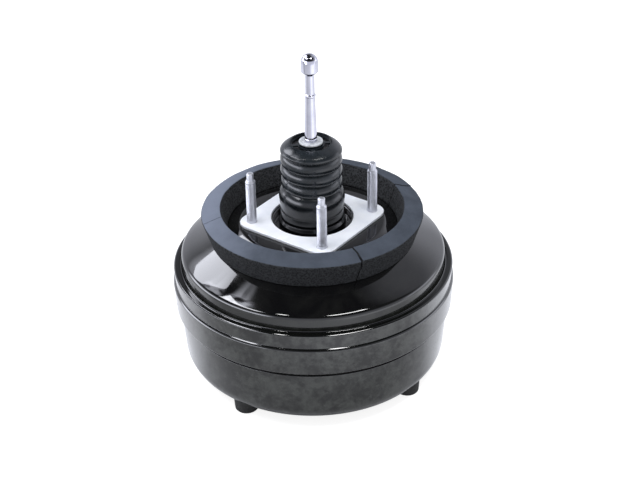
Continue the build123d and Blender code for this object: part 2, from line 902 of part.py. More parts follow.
# Dust boot: bead in the channel, bellows, mouth and the vented end over the tail
boot_low_z = channel_z + fit_gap
boot_seat_z = tail_z + seat_gap
boot_rim_z = boot_seat_z - boot_rim_drop
boot_groove_r = tail_r + boot_clear
boot_ridge_r = boot_groove_r + boot_ridge_h
boot_mouth_r = tail_bore_r + boot_mouth_step
boot_bore_r = boot_groove_r - boot_wall
boot_end_z = boot_seat_z + boot_end_rise
boot_end_top_z = boot_end_z + boot_end_t
boot_mouth_z = boot_end_top_z + boot_mouth_lip
boot_foot_top_z = channel_z + boot_foot[-1][1]
boot_pitch = (boot_rim_z - boot_rim_h - boot_foot_top_z) / boot_ridges
boot_points = [
    (neck_r + fit_gap, boot_low_z),
    (neck_r + boot_bead_w, boot_low_z),
    (neck_r + boot_bead_w, boot_low_z + boot_bead_h),
]
boot_points += [(neck_r + r, channel_z + z) for r, z in boot_foot]
for i in range(boot_ridges):
    boot_points += [
        (boot_ridge_r, boot_foot_top_z + (i + 0.5) * boot_pitch),
        (boot_groove_r, boot_foot_top_z + (i + 1) * boot_pitch),
    ]
boot_points += [
    (boot_ridge_r, boot_rim_z),
    (boot_mouth_r, boot_mouth_z),
    (boot_mouth_r - boot_mouth_w, boot_mouth_z),
    (boot_mouth_r - boot_mouth_w, boot_end_top_z),
    (boot_end_bore_r, boot_end_top_z),
    (boot_end_bore_r, boot_end_z),
    (tail_bore_r - fit_gap, boot_end_z),
    (tail_bore_r - fit_gap, boot_seat_z),
    (tail_r + seat_gap, boot_seat_z),
    (tail_r + seat_gap, boot_rim_z),
    (boot_bore_r, boot_rim_z - boot_rim_h),
    (boot_bore_r, neck_z + 2 * boot_wall),
    (neck_r + fit_gap, neck_z + seat_gap),
]
with BuildPart() as dust_boot:
    with BuildSketch(Plane.XZ):
        with BuildLine():
            Polyline(*boot_points, close=True)
        make_face()
    revolve(axis=Axis.Z)
    with BuildSketch(Plane.XY.offset(boot_end_z)):
        with PolarLocations(0, boot_vents):
            SlotArc(
                CenterArc(
                    (0, 0),
                    (boot_vent_in_r + boot_vent_out_r) / 2,
                    -boot_vent_deg / 2,
                    boot_vent_deg,
                    mode=Mode.PRIVATE,
                ),
                boot_vent_out_r - boot_vent_in_r,
            )
    extrude(amount=boot_end_t, mode=Mode.SUBTRACT)
dust_boot.part.label = "dust_boot"
export_step(dust_boot.part, "parts/dust_boot.step")

# Input rod: ball, spring collar, shoulder, taper, lug and domed head
rod_washer_z = boot_end_top_z + rod_washer_rise
rod_collar_z = rod_washer_z + rod_washer_t
rod_root_z = rod_collar_z + rod_collar_h
rod_mid_z = rod_root_z + rod_taper_h
rod_lug_z = rod_mid_z + rod_step_h
rod_end_z = rod_lug_z + rod_lug_h
head_z = rod_end_z + rod_end_h
head_side_z = head_z + head_chamfer
head_dome_z = head_side_z + head_side_h
neck_root_z = ball_z + sqrt(ball_r**2 - ball_neck_r**2)
with BuildPart() as input_rod:
    with BuildSketch(Plane.XZ):
        with BuildLine():
            ThreePointArc((0, ball_z - ball_r), (ball_r, ball_z), (ball_neck_r, neck_root_z))
            Polyline(
                (ball_neck_r, neck_root_z),
                (ball_neck_r, plunger_z + rod_neck_h),
                (rod_inner_r, plunger_z + rod_neck_h),
                (rod_inner_r, spring_collar_z),
                (spring_collar_r, spring_collar_z),
                (spring_collar_r, spring_collar_z + spring_collar_t),
                (rod_inner_r, spring_collar_z + spring_collar_t),
                (rod_inner_r, rod_collar_z),
                (rod_collar_r, rod_collar_z),
                (rod_collar_r, rod_root_z),
                (rod_root_r, rod_root_z),
                (rod_mid_r, rod_mid_z),
                (rod_mid_r, rod_lug_z),
                (rod_lug_r, rod_lug_z),
                (rod_lug_r, rod_end_z),
                (rod_end_r, rod_end_z),
                (rod_end_r, head_z),
                (head_r, head_side_z),
                (head_r, head_dome_z),
            )
            ThreePointArc(
                (head_r, head_dome_z),
                (head_r * cos(pi / 4), head_dome_z + head_r * sin(pi / 4)),
                (0, head_dome_z + head_r),
            )
            Line((0, head_dome_z + head_r), (0, ball_z - ball_r))
        make_face()
    revolve(axis=Axis.Z)
input_rod.part.label = "input_rod"
export_step(input_rod.part, "parts/input_rod.step")

with BuildPart() as rod_washer:
    with BuildSketch(Plane.XZ):
        with BuildLine():
            Polyline(*ring(rod_inner_r + fit_gap, rod_washer_r, rod_washer_z, rod_collar_z), close=True)
        make_face()
    revolve(axis=Axis.Z)
rod_washer.part.label = "rod_washer"
export_step(rod_washer.part, "parts/rod_washer.step")

# Output rod: cup for the reaction disc, shank and adjustable tip
cup_r = reaction_bore_r - run_gap
cup_bore_r = cup_r - cup_wall
disc_low_z = reaction_top_z - reaction_disc_h
cup_low_z = disc_low_z - cup_floor_t
output_low_z = cup_low_z - output_rod_h
with BuildPart() as reaction_disc:
    with BuildSketch(Plane.XY.offset(disc_low_z)):
        Circle(cup_bore_r - fit_gap)
    extrude(amount=reaction_disc_h)
reaction_disc.part.label = "reaction_disc"
export_step(reaction_disc.part, "parts/reaction_disc.step")

with BuildPart() as output_rod:
    with BuildSketch(Plane.XZ):
        with BuildLine():
            Polyline(
                (tip_stem_r + fit_gap, output_low_z),
                (output_rod_r, output_low_z),
                (output_rod_r, cup_low_z),
                (cup_r, cup_low_z),
                (cup_r, reaction_top_z - fit_gap),
                (cup_bore_r, reaction_top_z - fit_gap),
                (cup_bore_r, disc_low_z),
                (0, disc_low_z),
                (0, output_low_z + tip_stem_h + seat_gap),
                (tip_stem_r + fit_gap, output_low_z + tip_stem_h + seat_gap),
                close=True,
            )
        make_face()
    revolve(axis=Axis.Z)
output_rod.part.label = "output_rod"
export_step(output_rod.part, "parts/output_rod.step")

tip_hex_z = output_low_z - tip_hex_h
with BuildPart() as output_rod_tip:
    with BuildSketch(Plane.XY.offset(tip_hex_z)):
        RegularPolygon(tip_hex_r, 6)
    extrude(amount=tip_hex_h)
    with BuildSketch(Plane.XY.offset(output_low_z)):
        Circle(tip_stem_r)
    extrude(amount=tip_stem_h)
    with BuildSketch(Plane.XZ):
        with BuildLine():
            Polyline(
                (0, tip_hex_z - tip_nose_h),
                (0, tip_hex_z),
                (tip_nose_r, tip_hex_z),
                (tip_nose_r, tip_hex_z - tip_nose_h + tip_nose_r),
            )
            ThreePointArc(
                (tip_nose_r, tip_hex_z - tip_nose_h + tip_nose_r),
                (tip_nose_r * cos(pi / 4), tip_hex_z - tip_nose_h + tip_nose_r * (1 - sin(pi / 4))),
                (0, tip_hex_z - tip_nose_h),
            )
        make_face()
    revolve(axis=Axis.Z)
output_rod_tip.part.label = "output_rod_tip"
export_step(output_rod_tip.part, "parts/output_rod_tip.step")

# Conical return spring, from the pad in the recess to the front diaphragm plate
return_seat = return_wire_r + seat_gap
return_coil = coil(
    return_front_r,
    return_rear_r,
    pad_floor_z + return_seat,
    nose_z - return_seat,
    return_turns,
    steps=16,
)
with BuildPart() as return_spring:
    with BuildLine():
        Polyline(*return_coil)
    with BuildSketch(Plane(origin=return_coil[0], z_dir=return_coil[1] - return_coil[0])):
        RegularPolygon(return_wire_r, 8)
    sweep(transition=Transition.RIGHT)
return_spring.part.label = "return_spring"
export_step(return_spring.part, "parts/return_spring.step")

# Studs for the master cylinder, with their necks in the pad and in a backing plate, and the pilot's seal
seal_out_r = pilot_r + seal_band
with BuildPart() as cylinder_stud_plate:
    with BuildSketch(Plane.XY.offset(pad_floor_z)):
        Circle(seal_out_r + seal_band)
        SlotCenterToCenter(2 * cylinder_stud_circle_r, 2 * stud_lobe_r)
        Circle(seal_out_r + fit_gap, mode=Mode.SUBTRACT)
        with PolarLocations(cylinder_stud_circle_r, 2):
            Circle(cylinder_stud_r + stud_neck + fit_gap, mode=Mode.SUBTRACT)
    extrude(amount=stud_plate_t)
cylinder_stud_plate.part.label = "cylinder_stud_plate"
export_step(cylinder_stud_plate.part, "parts/cylinder_stud_plate.step")

with BuildPart() as cylinder_studs:
    with BuildSketch(Plane.XY.offset(pad_z - cylinder_stud_reach)):
        with PolarLocations(cylinder_stud_circle_r, 2):
            Circle(cylinder_stud_r)
    extrude(amount=cylinder_stud_reach)
    with BuildSketch(Plane.XY.offset(pad_z)):
        with PolarLocations(cylinder_stud_circle_r, 2):
            Circle(cylinder_stud_r + stud_neck)
    extrude(amount=shell_t + stud_plate_t)
    with BuildSketch(Plane.XY.offset(pad_floor_z + stud_plate_t)):
        with PolarLocations(cylinder_stud_circle_r, 2):
            Circle(cylinder_stud_head_r)
    extrude(amount=cylinder_stud_head_t)
cylinder_studs.part.label = "cylinder_studs"
export_step(cylinder_studs.part, "parts/cylinder_studs.step")

with BuildPart() as cylinder_seal:
    with BuildSketch(Plane.XY.offset(pad_floor_z)):
        Circle(seal_out_r)
        Circle(pilot_r + seal_lip, mode=Mode.SUBTRACT)
    extrude(amount=stud_plate_t)
cylinder_seal.part.label = "cylinder_seal"
export_step(cylinder_seal.part, "parts/cylinder_seal.step")

# Grommet of the check valve: two flanges and a waist in the shell
with BuildPart() as valve_grommet:
    with BuildSketch(Plane.XY.offset(well_z - grommet_outer_t)):
        with Locations((0, valve_circle_r)):
            Circle(grommet_flange_r)
    extrude(amount=grommet_outer_t)
    with BuildSketch(Plane.XY.offset(well_z)):
        with Locations((0, valve_circle_r)):
            Circle(grommet_hole_r)
    extrude(amount=shell_t)
    with BuildSketch(Plane.XY.offset(well_floor_z)):
        with Locations((0, valve_circle_r)):
            Circle(grommet_inner_r)
    extrude(amount=grommet_inner_t)
    with BuildSketch(Plane.XY.offset(well_z - grommet_outer_t)):
        with Locations((0, valve_circle_r)):
            Circle(check_stub_r + fit_gap)
    extrude(until=Until.LAST, mode=Mode.SUBTRACT)
valve_grommet.part.label = "valve_grommet"
export_step(valve_grommet.part, "parts/valve_grommet.step")

# Check valve: cap with the stub in the grommet, chamber with the hose nipple, disc and spring
check_axis = Axis((0, valve_circle_r, 0), (0, 0, 1))
check_plane = Plane(origin=(0, valve_circle_r, 0), x_dir=(1, 0, 0), z_dir=(0, -1, 0))
cap_top_z = well_z - grommet_outer_t
cap_low_z = cap_top_z - check_cap_t
chamber_h = check_wall + check_spring_room + check_lift + check_disc_t + fit_gap
chamber_low_z = cap_low_z - chamber_h
nipple_z = chamber_low_z - nipple_h
with BuildPart() as check_valve_cap:
    with BuildSketch(check_plane):
        with BuildLine():
            Polyline(
                (check_stub_bore_r, cap_low_z),
                (check_cap_r, cap_low_z),
                (check_cap_r, cap_top_z),
                (check_stub_r, cap_top_z),
                (check_stub_r, well_floor_z + grommet_inner_t + check_stub_rise),
                (check_stub_bore_r, well_floor_z + grommet_inner_t + check_stub_rise),
                close=True,
            )
        make_face()
    revolve(axis=check_axis)
check_valve_cap.part.label = "check_valve_cap"
export_step(check_valve_cap.part, "parts/check_valve_cap.step")

with BuildPart() as check_valve_body:
    with BuildSketch(check_plane):
        with BuildLine():
            Polyline(
                (nipple_bore_r, nipple_z),
                (nipple_r - nipple_barb, nipple_z),
                (nipple_r, nipple_z + nipple_barb_h),
                (nipple_r, nipple_z + nipple_barb_h + nipple_land_h),
                (nipple_r - nipple_barb, nipple_z + nipple_barb_h + nipple_land_h),
                (nipple_r - nipple_barb, chamber_low_z),
                (check_cap_r, chamber_low_z),
                (check_cap_r, cap_low_z),
                (check_cap_r - check_wall, cap_low_z),
                (check_cap_r - check_wall, chamber_low_z + check_wall),
                (nipple_bore_r, chamber_low_z + check_wall),
                close=True,
            )
        make_face()
    revolve(axis=check_axis)
check_valve_body.part.label = "check_valve_body"
export_step(check_valve_body.part, "parts/check_valve_body.step")

check_disc_z = cap_low_z - fit_gap - check_disc_t
with BuildPart() as check_valve_disc:
    with BuildSketch(Plane.XY.offset(check_disc_z)):
        with Locations((0, valve_circle_r)):
            Circle(check_disc_r)
    extrude(amount=check_disc_t)
check_valve_disc.part.label = "check_valve_disc"
export_step(check_valve_disc.part, "parts/check_valve_disc.step")

check_spring_seat = check_spring_wire_r + fit_gap
check_coil = coil(
    check_spring_r,
    check_spring_r,
    chamber_low_z + check_wall + check_spring_seat,
    check_disc_z - check_spring_seat,
    check_spring_turns,
    centre=(0, valve_circle_r),
)
with BuildPart() as check_valve_spring:
    with BuildLine():
        Polyline(*check_coil)
    with BuildSketch(Plane(origin=check_coil[0], z_dir=check_coil[1] - check_coil[0])):
        RegularPolygon(check_spring_wire_r, 6)
    sweep(transition=Transition.RIGHT)
check_valve_spring.part.label = "check_valve_spring"
export_step(check_valve_spring.part, "parts/check_valve_spring.step")
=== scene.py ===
import json
from collections import namedtuple
from math import atan2, cos, hypot, pi, radians, sin, sqrt, tan

import bmesh
import bpy
from mathutils import Matrix, Vector, noise


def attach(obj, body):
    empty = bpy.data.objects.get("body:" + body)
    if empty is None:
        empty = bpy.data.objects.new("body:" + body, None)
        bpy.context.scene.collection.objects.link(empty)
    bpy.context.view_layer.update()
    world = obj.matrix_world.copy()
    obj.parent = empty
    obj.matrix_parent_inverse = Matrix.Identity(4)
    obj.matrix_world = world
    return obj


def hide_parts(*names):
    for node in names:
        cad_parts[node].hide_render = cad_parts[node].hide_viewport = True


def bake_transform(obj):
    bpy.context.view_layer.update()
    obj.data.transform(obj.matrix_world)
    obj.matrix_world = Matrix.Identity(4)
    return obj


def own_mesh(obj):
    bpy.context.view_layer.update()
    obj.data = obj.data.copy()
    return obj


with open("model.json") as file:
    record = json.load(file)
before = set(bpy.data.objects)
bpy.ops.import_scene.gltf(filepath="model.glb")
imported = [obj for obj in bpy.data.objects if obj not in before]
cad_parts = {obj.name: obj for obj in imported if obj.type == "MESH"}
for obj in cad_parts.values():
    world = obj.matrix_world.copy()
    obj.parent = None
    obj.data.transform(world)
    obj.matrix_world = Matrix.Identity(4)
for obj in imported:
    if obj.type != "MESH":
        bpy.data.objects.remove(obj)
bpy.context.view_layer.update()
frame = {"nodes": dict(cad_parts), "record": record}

scene = bpy.context.scene

# Shapes are given in millimetres, and materials, camera and lamps in metres
MM = 0.001


# Camera, fitted to the photograph
IMAGE_W = 640
CAMERA_FOCUS_PX = 1408.0
CAMERA_AWAY = 1.2134
CAMERA_HEIGHT = 0.8725
CAMERA_TURN = radians(36.7)
CAMERA_PITCH = radians(31.2)
CAMERA_YAW = radians(0.34)
CAMERA_ROLL = radians(-0.94)
CAMERA_FAR = 20
SENSOR_MM = 36.0


def add_camera():
    turn = Matrix.Rotation(CAMERA_TURN, 3, "Z")
    ahead = Vector((sin(CAMERA_YAW) * cos(CAMERA_PITCH), cos(CAMERA_YAW) * cos(CAMERA_PITCH),
                    -sin(CAMERA_PITCH)))
    right = Vector((cos(CAMERA_YAW), -sin(CAMERA_YAW), 0))
    over = right.cross(ahead)
    rolled_right = right * cos(CAMERA_ROLL) + over * sin(CAMERA_ROLL)
    rolled_up = over * cos(CAMERA_ROLL) - right * sin(CAMERA_ROLL)
    axes = Matrix((rolled_right, rolled_up, -ahead)).transposed()
    data = bpy.data.cameras.new("camera")
    data.sensor_width = SENSOR_MM
    data.lens = CAMERA_FOCUS_PX / IMAGE_W * SENSOR_MM
    data.clip_end = CAMERA_FAR
    camera = bpy.data.objects.new("camera", data)
    camera.matrix_world = (turn @ axes).to_4x4()
    camera.matrix_world.translation = turn @ Vector((0, -CAMERA_AWAY, CAMERA_HEIGHT))
    scene.collection.objects.link(camera)
    scene.camera = camera


# Node materials
class Graph:
    """A material's node tree, with short calls for the nodes used here."""

    def __init__(self, name):
        self.material = bpy.data.materials.new(name)
        self.material.use_nodes = True
        self.nodes = self.material.node_tree.nodes
        self.links = self.material.node_tree.links
        self.nodes.clear()
        self.out = self.nodes.new("ShaderNodeOutputMaterial")
        self.shader = self.nodes.new("ShaderNodeBsdfPrincipled")
        self.links.new(self.shader.outputs[0], self.out.inputs["Surface"])
        self.place = self.nodes.new("ShaderNodeTexCoord").outputs["Object"]

    def set(self, **values):
        """Constants of the shader, by the names of its sockets in lower case."""
        for key, value in values.items():
            socket = key.replace("_", " ").title().replace("Ior", "IOR")
            self.shader.inputs[socket].default_value = value

    def link(self, source, socket):
        self.links.new(source, self.shader.inputs[socket])

    def stretch(self, scale):
        node = self.nodes.new("ShaderNodeMapping")
        node.inputs["Scale"].default_value = scale
        self.links.new(self.place, node.inputs["Vector"])
        return node.outputs[0]

    def noise(self, size, detail, rough, place=None, warp=0.0):
        node = self.nodes.new("ShaderNodeTexNoise")
        node.inputs["Scale"].default_value = 1 / size
        node.inputs["Detail"].default_value = detail
        node.inputs["Roughness"].default_value = rough
        node.inputs["Distortion"].default_value = warp
        self.links.new(place or self.place, node.inputs["Vector"])
        return node.outputs["Fac"]

    def cells(self, size):
        """Distance to the middle of the nearest cell."""
        node = self.nodes.new("ShaderNodeTexVoronoi")
        node.inputs["Scale"].default_value = 1 / size
        self.links.new(self.place, node.inputs["Vector"])
        return node.outputs["Distance"]

    def ramp(self, source, *stops):
        """Colours or values along a factor: (place, value) pairs."""
        node = self.nodes.new("ShaderNodeValToRGB")
        points = node.color_ramp.elements
        while len(points) < len(stops):
            points.new(0.5)
        for point, (at, value) in zip(points, stops):
            point.position = at
            grey = isinstance(value, (int, float))
            point.color = (value, value, value, 1) if grey else (*value, 1)
        self.links.new(source, node.inputs[0])
        return node.outputs[0]

    def math(self, kind, a, b):
        node = self.nodes.new("ShaderNodeMath")
        node.operation = kind
        self.fill(zip(node.inputs, (a, b)))
        return node.outputs[0]

    def mix(self, factor, a, b):
        """Colour a where the factor is 0, and b where it is 1."""
        node = self.nodes.new("ShaderNodeMix")
        node.data_type = "RGBA"
        self.fill(((node.inputs[0], factor), (node.inputs[6], a), (node.inputs[7], b)))
        return node.outputs[2]

    def fill(self, pairs):
        """Gives each socket its number, its colour or its link."""
        for socket, value in pairs:
            if isinstance(value, (int, float)):
                socket.default_value = value
            elif isinstance(value, tuple):
                socket.default_value = (*value, 1)
            else:
                self.links.new(value, socket)

    def split_z(self, source):
        split = self.nodes.new("ShaderNodeSeparateXYZ")
        self.links.new(source, split.inputs[0])
        return split.outputs["Z"]

    def facing_up(self):
        """How far the surface faces up: 0 on a wall, 1 on a level face."""
        return self.split_z(self.nodes.new("ShaderNodeNewGeometry").outputs["Normal"])

    def height(self):
        return self.split_z(self.place)

    def along(self, azimuth):
        """Place along a level direction, given from the camera's right."""
        node = self.nodes.new("ShaderNodeVectorMath")
        node.operation = "DOT_PRODUCT"
        turn = CAMERA_TURN + azimuth
        node.inputs[1].default_value = (cos(turn), sin(turn), 0)
        self.links.new(self.place, node.inputs[0])
        return node.outputs["Value"]

    def reach(self):
        """Distance from the axis."""
        flat = self.nodes.new("ShaderNodeVectorMath")
        flat.operation = "LENGTH"
        self.links.new(self.stretch((1, 1, 0)), flat.inputs[0])
        return flat.outputs["Value"]

    def bump(self, source, depth, strength):
        node = self.nodes.new("ShaderNodeBump")
        node.inputs["Strength"].default_value = strength
        node.inputs["Distance"].default_value = depth
        self.links.new(source, node.inputs["Height"])
        self.link(node.outputs[0], "Normal")


def band_paint():
    """Black gloss paint; upright walls carry a thin, mottled, paler film, partly a painted
    reflection of the floor.
    """
    g = Graph("band_paint")
    cloud = g.noise(0.026, detail=6, rough=0.70, warp=0.5)
    speck = g.noise(0.0060, detail=4, rough=0.72)
    cover = g.math("ADD", g.math("MULTIPLY", cloud, 0.6), g.math("MULTIPLY", speck, 0.4))
    wall = g.ramp(g.facing_up(), (0.18, 1), (0.45, 0))
    film_and_painted_floor_reflection = g.math("MULTIPLY", g.ramp(cover, (0.43, 0), (0.57, 1)), wall)
    # Painted reflection: the paler film on upright walls stands in partly for the floor they
    # reflect; level faces stay black
    g.link(g.mix(film_and_painted_floor_reflection, (0.0030, 0.0033, 0.0030), (0.031, 0.034, 0.029)), "Base Color")
    g.link(g.ramp(film_and_painted_floor_reflection, (0, 0.07), (1, 0.26)), "Roughness")
    g.link(g.ramp(film_and_painted_floor_reflection, (0, 0.48), (1, 0.80)), "Specular IOR Level")
    g.set(coat_weight=0.80, coat_roughness=0.05)
    g.bump(g.noise(0.020, detail=2, rough=0.5), depth=0.00003, strength=0.2)
    return g.material


def dome_paint():
    """Deep gloss black paint with a faint haze, and a thin, paler film on upright walls, partly a
    painted reflection of the floor.
    """
    g = Graph("dome_paint")
    haze = g.ramp(g.noise(0.040, detail=5, rough=0.62, warp=0.6), (0.45, 0), (0.72, 1))
    wall = g.ramp(g.facing_up(), (0.10, 1), (0.40, 0))
    cover = g.ramp(g.noise(0.012, detail=5, rough=0.7), (0.35, 0.2), (0.65, 1))
    film_and_painted_floor_reflection = g.math("MULTIPLY", cover, wall)
    paint = g.mix(haze, (0.003, 0.003, 0.0033), (0.009, 0.009, 0.0085))
    # Painted reflection: the paler film on upright walls stands in partly for the floor they
    # reflect
    g.link(g.mix(film_and_painted_floor_reflection, paint, (0.020, 0.021, 0.018)), "Base Color")
    dull = g.math("MULTIPLY", film_and_painted_floor_reflection, 0.14)
    g.link(g.math("ADD", g.ramp(haze, (0, 0.04), (1, 0.11)), dull), "Roughness")
    g.set(coat_weight=0.5, coat_roughness=0.03)
    g.bump(g.noise(0.016, detail=2, rough=0.5), depth=0.00004, strength=0.15)
    return g.material


def zinc_plate():
    """Pale zinc, a little cloudy."""
    g = Graph("bright_zinc")
    grain = g.noise(0.0011, detail=4, rough=0.7)
    cloud = g.noise(0.014, detail=4, rough=0.6, warp=0.5)
    g.link(g.ramp(cloud, (0.3, (0.84, 0.87, 0.94)), (0.7, (0.93, 0.95, 0.99))), "Base Color")
    g.link(g.ramp(g.math("MULTIPLY", cloud, grain), (0.1, 0.36), (0.4, 0.55)), "Roughness")
    g.set(metallic=0.15)
    g.bump(grain, depth=0.00003, strength=0.3)
    return g.material


def stud_steel():
    """Dull plated steel."""
    g = Graph("stud_steel")
    cloud = g.noise(0.006, detail=4, rough=0.65)
    g.link(g.ramp(cloud, (0.3, (0.50, 0.51, 0.56)), (0.7, (0.64, 0.65, 0.70))), "Base Color")
    g.link(g.ramp(cloud, (0.2, 0.34), (0.8, 0.46)), "Roughness")
    g.set(metallic=0.85)
    return g.material


def rod_steel():
    """Bright plated rod, with turning marks round it."""
    g = Graph("rod_steel")
    rings = g.noise(0.002, detail=3, rough=0.6, place=g.stretch((0.05, 0.05, 1)))
    cloud = g.noise(0.008, detail=4, rough=0.6)
    g.link(g.ramp(cloud, (0.3, (0.52, 0.52, 0.60)), (0.7, (0.60, 0.60, 0.67))), "Base Color")
    g.link(g.ramp(rings, (0.3, 0.06), (0.7, 0.14)), "Roughness")
    g.set(metallic=1.0)
    g.bump(rings, depth=0.00001, strength=0.35)
    return g.material


# Where the foam's skin is painted paler, as painted light from one side: a bearing, and the places
# along it where the painted light starts and where it is full
PAINTED_LIGHT_SIDE = radians(170)
PAINTED_LIGHT_FROM, PAINTED_LIGHT_FULL = 0.045, 0.115


def foam():
    """Closed-cell foam: a smoother, paler skin on top, open grain on the cut walls, and painted
    light on the skin toward one side.
    """
    g = Graph("charcoal_foam")
    pores = g.cells(0.0017)
    grain = g.noise(0.0014, detail=4, rough=0.75)
    cloud = g.noise(0.018, detail=4, rough=0.6)
    top = g.ramp(g.facing_up(), (0.55, 0), (0.85, 1))
    spots = g.ramp(g.math("MULTIPLY", pores, grain), (0.10, 0.0), (0.34, 1.0))
    wall = g.mix(spots, (0.006, 0.006, 0.007), (0.038, 0.040, 0.043))
    patchy = g.ramp(cloud, (0.3, 0), (0.7, 1))
    skin = g.mix(patchy, (0.042, 0.050, 0.066), (0.060, 0.071, 0.092))
    # Painted light: the skin turns paler toward one side, as if lit from there
    side = g.math("ADD", g.along(PAINTED_LIGHT_SIDE), g.math("MULTIPLY", cloud, 0.03))
    painted_light = g.ramp(side, (PAINTED_LIGHT_FROM, 0), (PAINTED_LIGHT_FULL, 1))
    skin = g.mix(painted_light, skin, (0.150, 0.170, 0.220))
    g.link(g.mix(top, wall, skin), "Base Color")
    g.set(roughness=0.92, specular_ior_level=0.25)
    rough_wall = g.math("MULTIPLY", spots, g.ramp(top, (0, 1.0), (1, 0.18)))
    g.bump(rough_wall, depth=0.0005, strength=0.8)
    return g.material


# Heights between which the boot's rubber turns from a darker colour, painted shade near the plate,
# to dusty
SHADE_TO_DUST_FROM, SHADE_TO_DUST_FULL = 0.180, 0.210


def boot_rubber():
    """Moulded rubber, dusty higher up, and painted darker near the plate as painted shade."""
    g = Graph("boot_rubber")
    cloud = g.noise(0.012, detail=5, rough=0.62, warp=0.5)
    dust = g.noise(0.0022, detail=4, rough=0.7)
    cover = g.math("ADD", g.math("MULTIPLY", cloud, 0.7), g.math("MULTIPLY", dust, 0.3))
    dusty = g.ramp(cover, (0.35, (0.006, 0.008, 0.010)), (0.68, (0.017, 0.022, 0.027)))
    above = g.ramp(g.height(), (SHADE_TO_DUST_FROM, 0), (SHADE_TO_DUST_FULL, 1))
    # Painted shade: below these heights the rubber is painted darker, where the plate shades it
    g.link(g.mix(above, (0.0022, 0.0026, 0.0032), dusty), "Base Color")
    g.link(g.ramp(cloud, (0.3, 0.17), (0.7, 0.27)), "Roughness")
    g.bump(dust, depth=0.00004, strength=0.25)
    return g.material


def washer_resin():
    """Pale, stained resin."""
    g = Graph("washer_resin")
    spots = g.noise(0.0030, detail=5, rough=0.7)
    g.link(g.ramp(spots, (0.35, (0.30, 0.31, 0.33)), (0.60, (0.58, 0.60, 0.63))), "Base Color")
    g.link(g.ramp(spots, (0.3, 0.55), (0.7, 0.75)), "Roughness")
    g.bump(spots, depth=0.00008, strength=0.4)
    return g.material


def mottled(name, dark, light, size, rough, metallic=0.0, grain=0.001, depth=0.00002):
    """A finish whose colour and gloss drift between two values, with a fine grain."""
    g = Graph(name)
    cloud = g.noise(size, detail=5, rough=0.62, warp=0.3)
    g.link(g.ramp(cloud, (0.32, dark), (0.68, light)), "Base Color")
    g.link(g.ramp(cloud, (0.25, rough[0]), (0.75, rough[1])), "Roughness")
    g.set(metallic=metallic)
    g.bump(g.noise(grain, detail=3, rough=0.6), depth=depth, strength=0.4)
    return g.material


# The floor's own light for the camera
FLOOR_GLOW = 0.85
# The floor glows for gloss rays as painted light: darkest just in front of the object, a painted
# shadow, and brighter to the sides, a painted reflection of the room
# How bright gloss sees it, by the place along the view: the axis is at FLOOR_AXIS
FLOOR_GLOSS = 0.84
FLOOR_AXIS = 0.3
FLOOR_GLOSS_STOPS = (
    (0.24, 0.76), (0.30, 0.80), (0.33, 0.70), (0.37, 0.27), (0.415, 0.07), (0.45, 0.0),
    (0.53, 0.10), (0.64, 0.40),
)
# What one side adds, by the cosine of the bearing from it and by the distance from the axis
BRIGHT_SIDE = radians(-40)
SIDE_STOPS = ((0.05, 0), (0.9, 1))
SIDE_REACH_STOPS = ((0.17, 0.06), (0.28, 0.30))
# What that side adds farther out, in the same way
FAR_GLOSS = 0.7
FAR_SIDE_STOPS = ((0.72, 0.0), (0.95, 1.0))
FAR_REACH_STOPS = ((0.33, 0.0), (0.42, 1.0))


def stage_white():
    """White floor: even for the camera, with the object's shadow, and a graded glow for gloss that
    is painted light and painted shadow.
    """
    g = Graph("stage_white")
    path = g.nodes.new("ShaderNodeLightPath").outputs
    seen = g.math("MAXIMUM", path["Is Camera Ray"], path["Is Transmission Ray"])
    reach = g.reach()
    ahead = g.math("ADD", g.along(radians(-90)), FLOOR_AXIS)
    side = g.math("DIVIDE", g.along(BRIGHT_SIDE), reach)
    gloss = g.math("MULTIPLY", g.ramp(ahead, *FLOOR_GLOSS_STOPS), FLOOR_GLOSS)
    near_side = g.math("MULTIPLY", g.ramp(side, *SIDE_STOPS), g.ramp(reach, *SIDE_REACH_STOPS))
    far_side = g.math("MULTIPLY", g.ramp(side, *FAR_SIDE_STOPS), g.ramp(reach, *FAR_REACH_STOPS))
    gloss = g.math("ADD", gloss, near_side)
    gloss = g.math("ADD", gloss, g.math("MULTIPLY", far_side, FAR_GLOSS))
    gloss = g.math("MULTIPLY", gloss, path["Is Glossy Ray"])
    g.set(roughness=0.9, specular_ior_level=0.1)
    glow = g.nodes.new("ShaderNodeEmission")
    tint = g.mix(path["Is Camera Ray"], (0.90, 0.92, 1.0), (1.0, 0.995, 0.99))
    g.links.new(tint, glow.inputs["Color"])
    strength = g.math("ADD", g.math("MULTIPLY", seen, FLOOR_GLOW), gloss)
    g.links.new(strength, glow.inputs["Strength"])
    both = g.nodes.new("ShaderNodeAddShader")
    g.links.new(g.shader.outputs[0], both.inputs[0])
    g.links.new(glow.outputs[0], both.inputs[1])
    g.links.new(both.outputs[0], g.out.inputs["Surface"])
    drift = g.noise(0.4, detail=2, rough=0.5)
    g.link(g.ramp(drift, (0.3, (0.39, 0.39, 0.395)), (0.7, (0.41, 0.41, 0.415))), "Base Color")
    return g.material


# Outlines in millimetres, rounded, thickened and turned
FULL_TURN = 2 * pi
# A corner this flat stays as it is, and an arc takes at most this share of a side
STRAIGHT = pi - 0.02
LONGEST_CUT = 0.49
# Points closer than this, in metres, become one
MERGE = 1e-7


def clamp(value):
    return min(max(value, 0.0), 1.0)


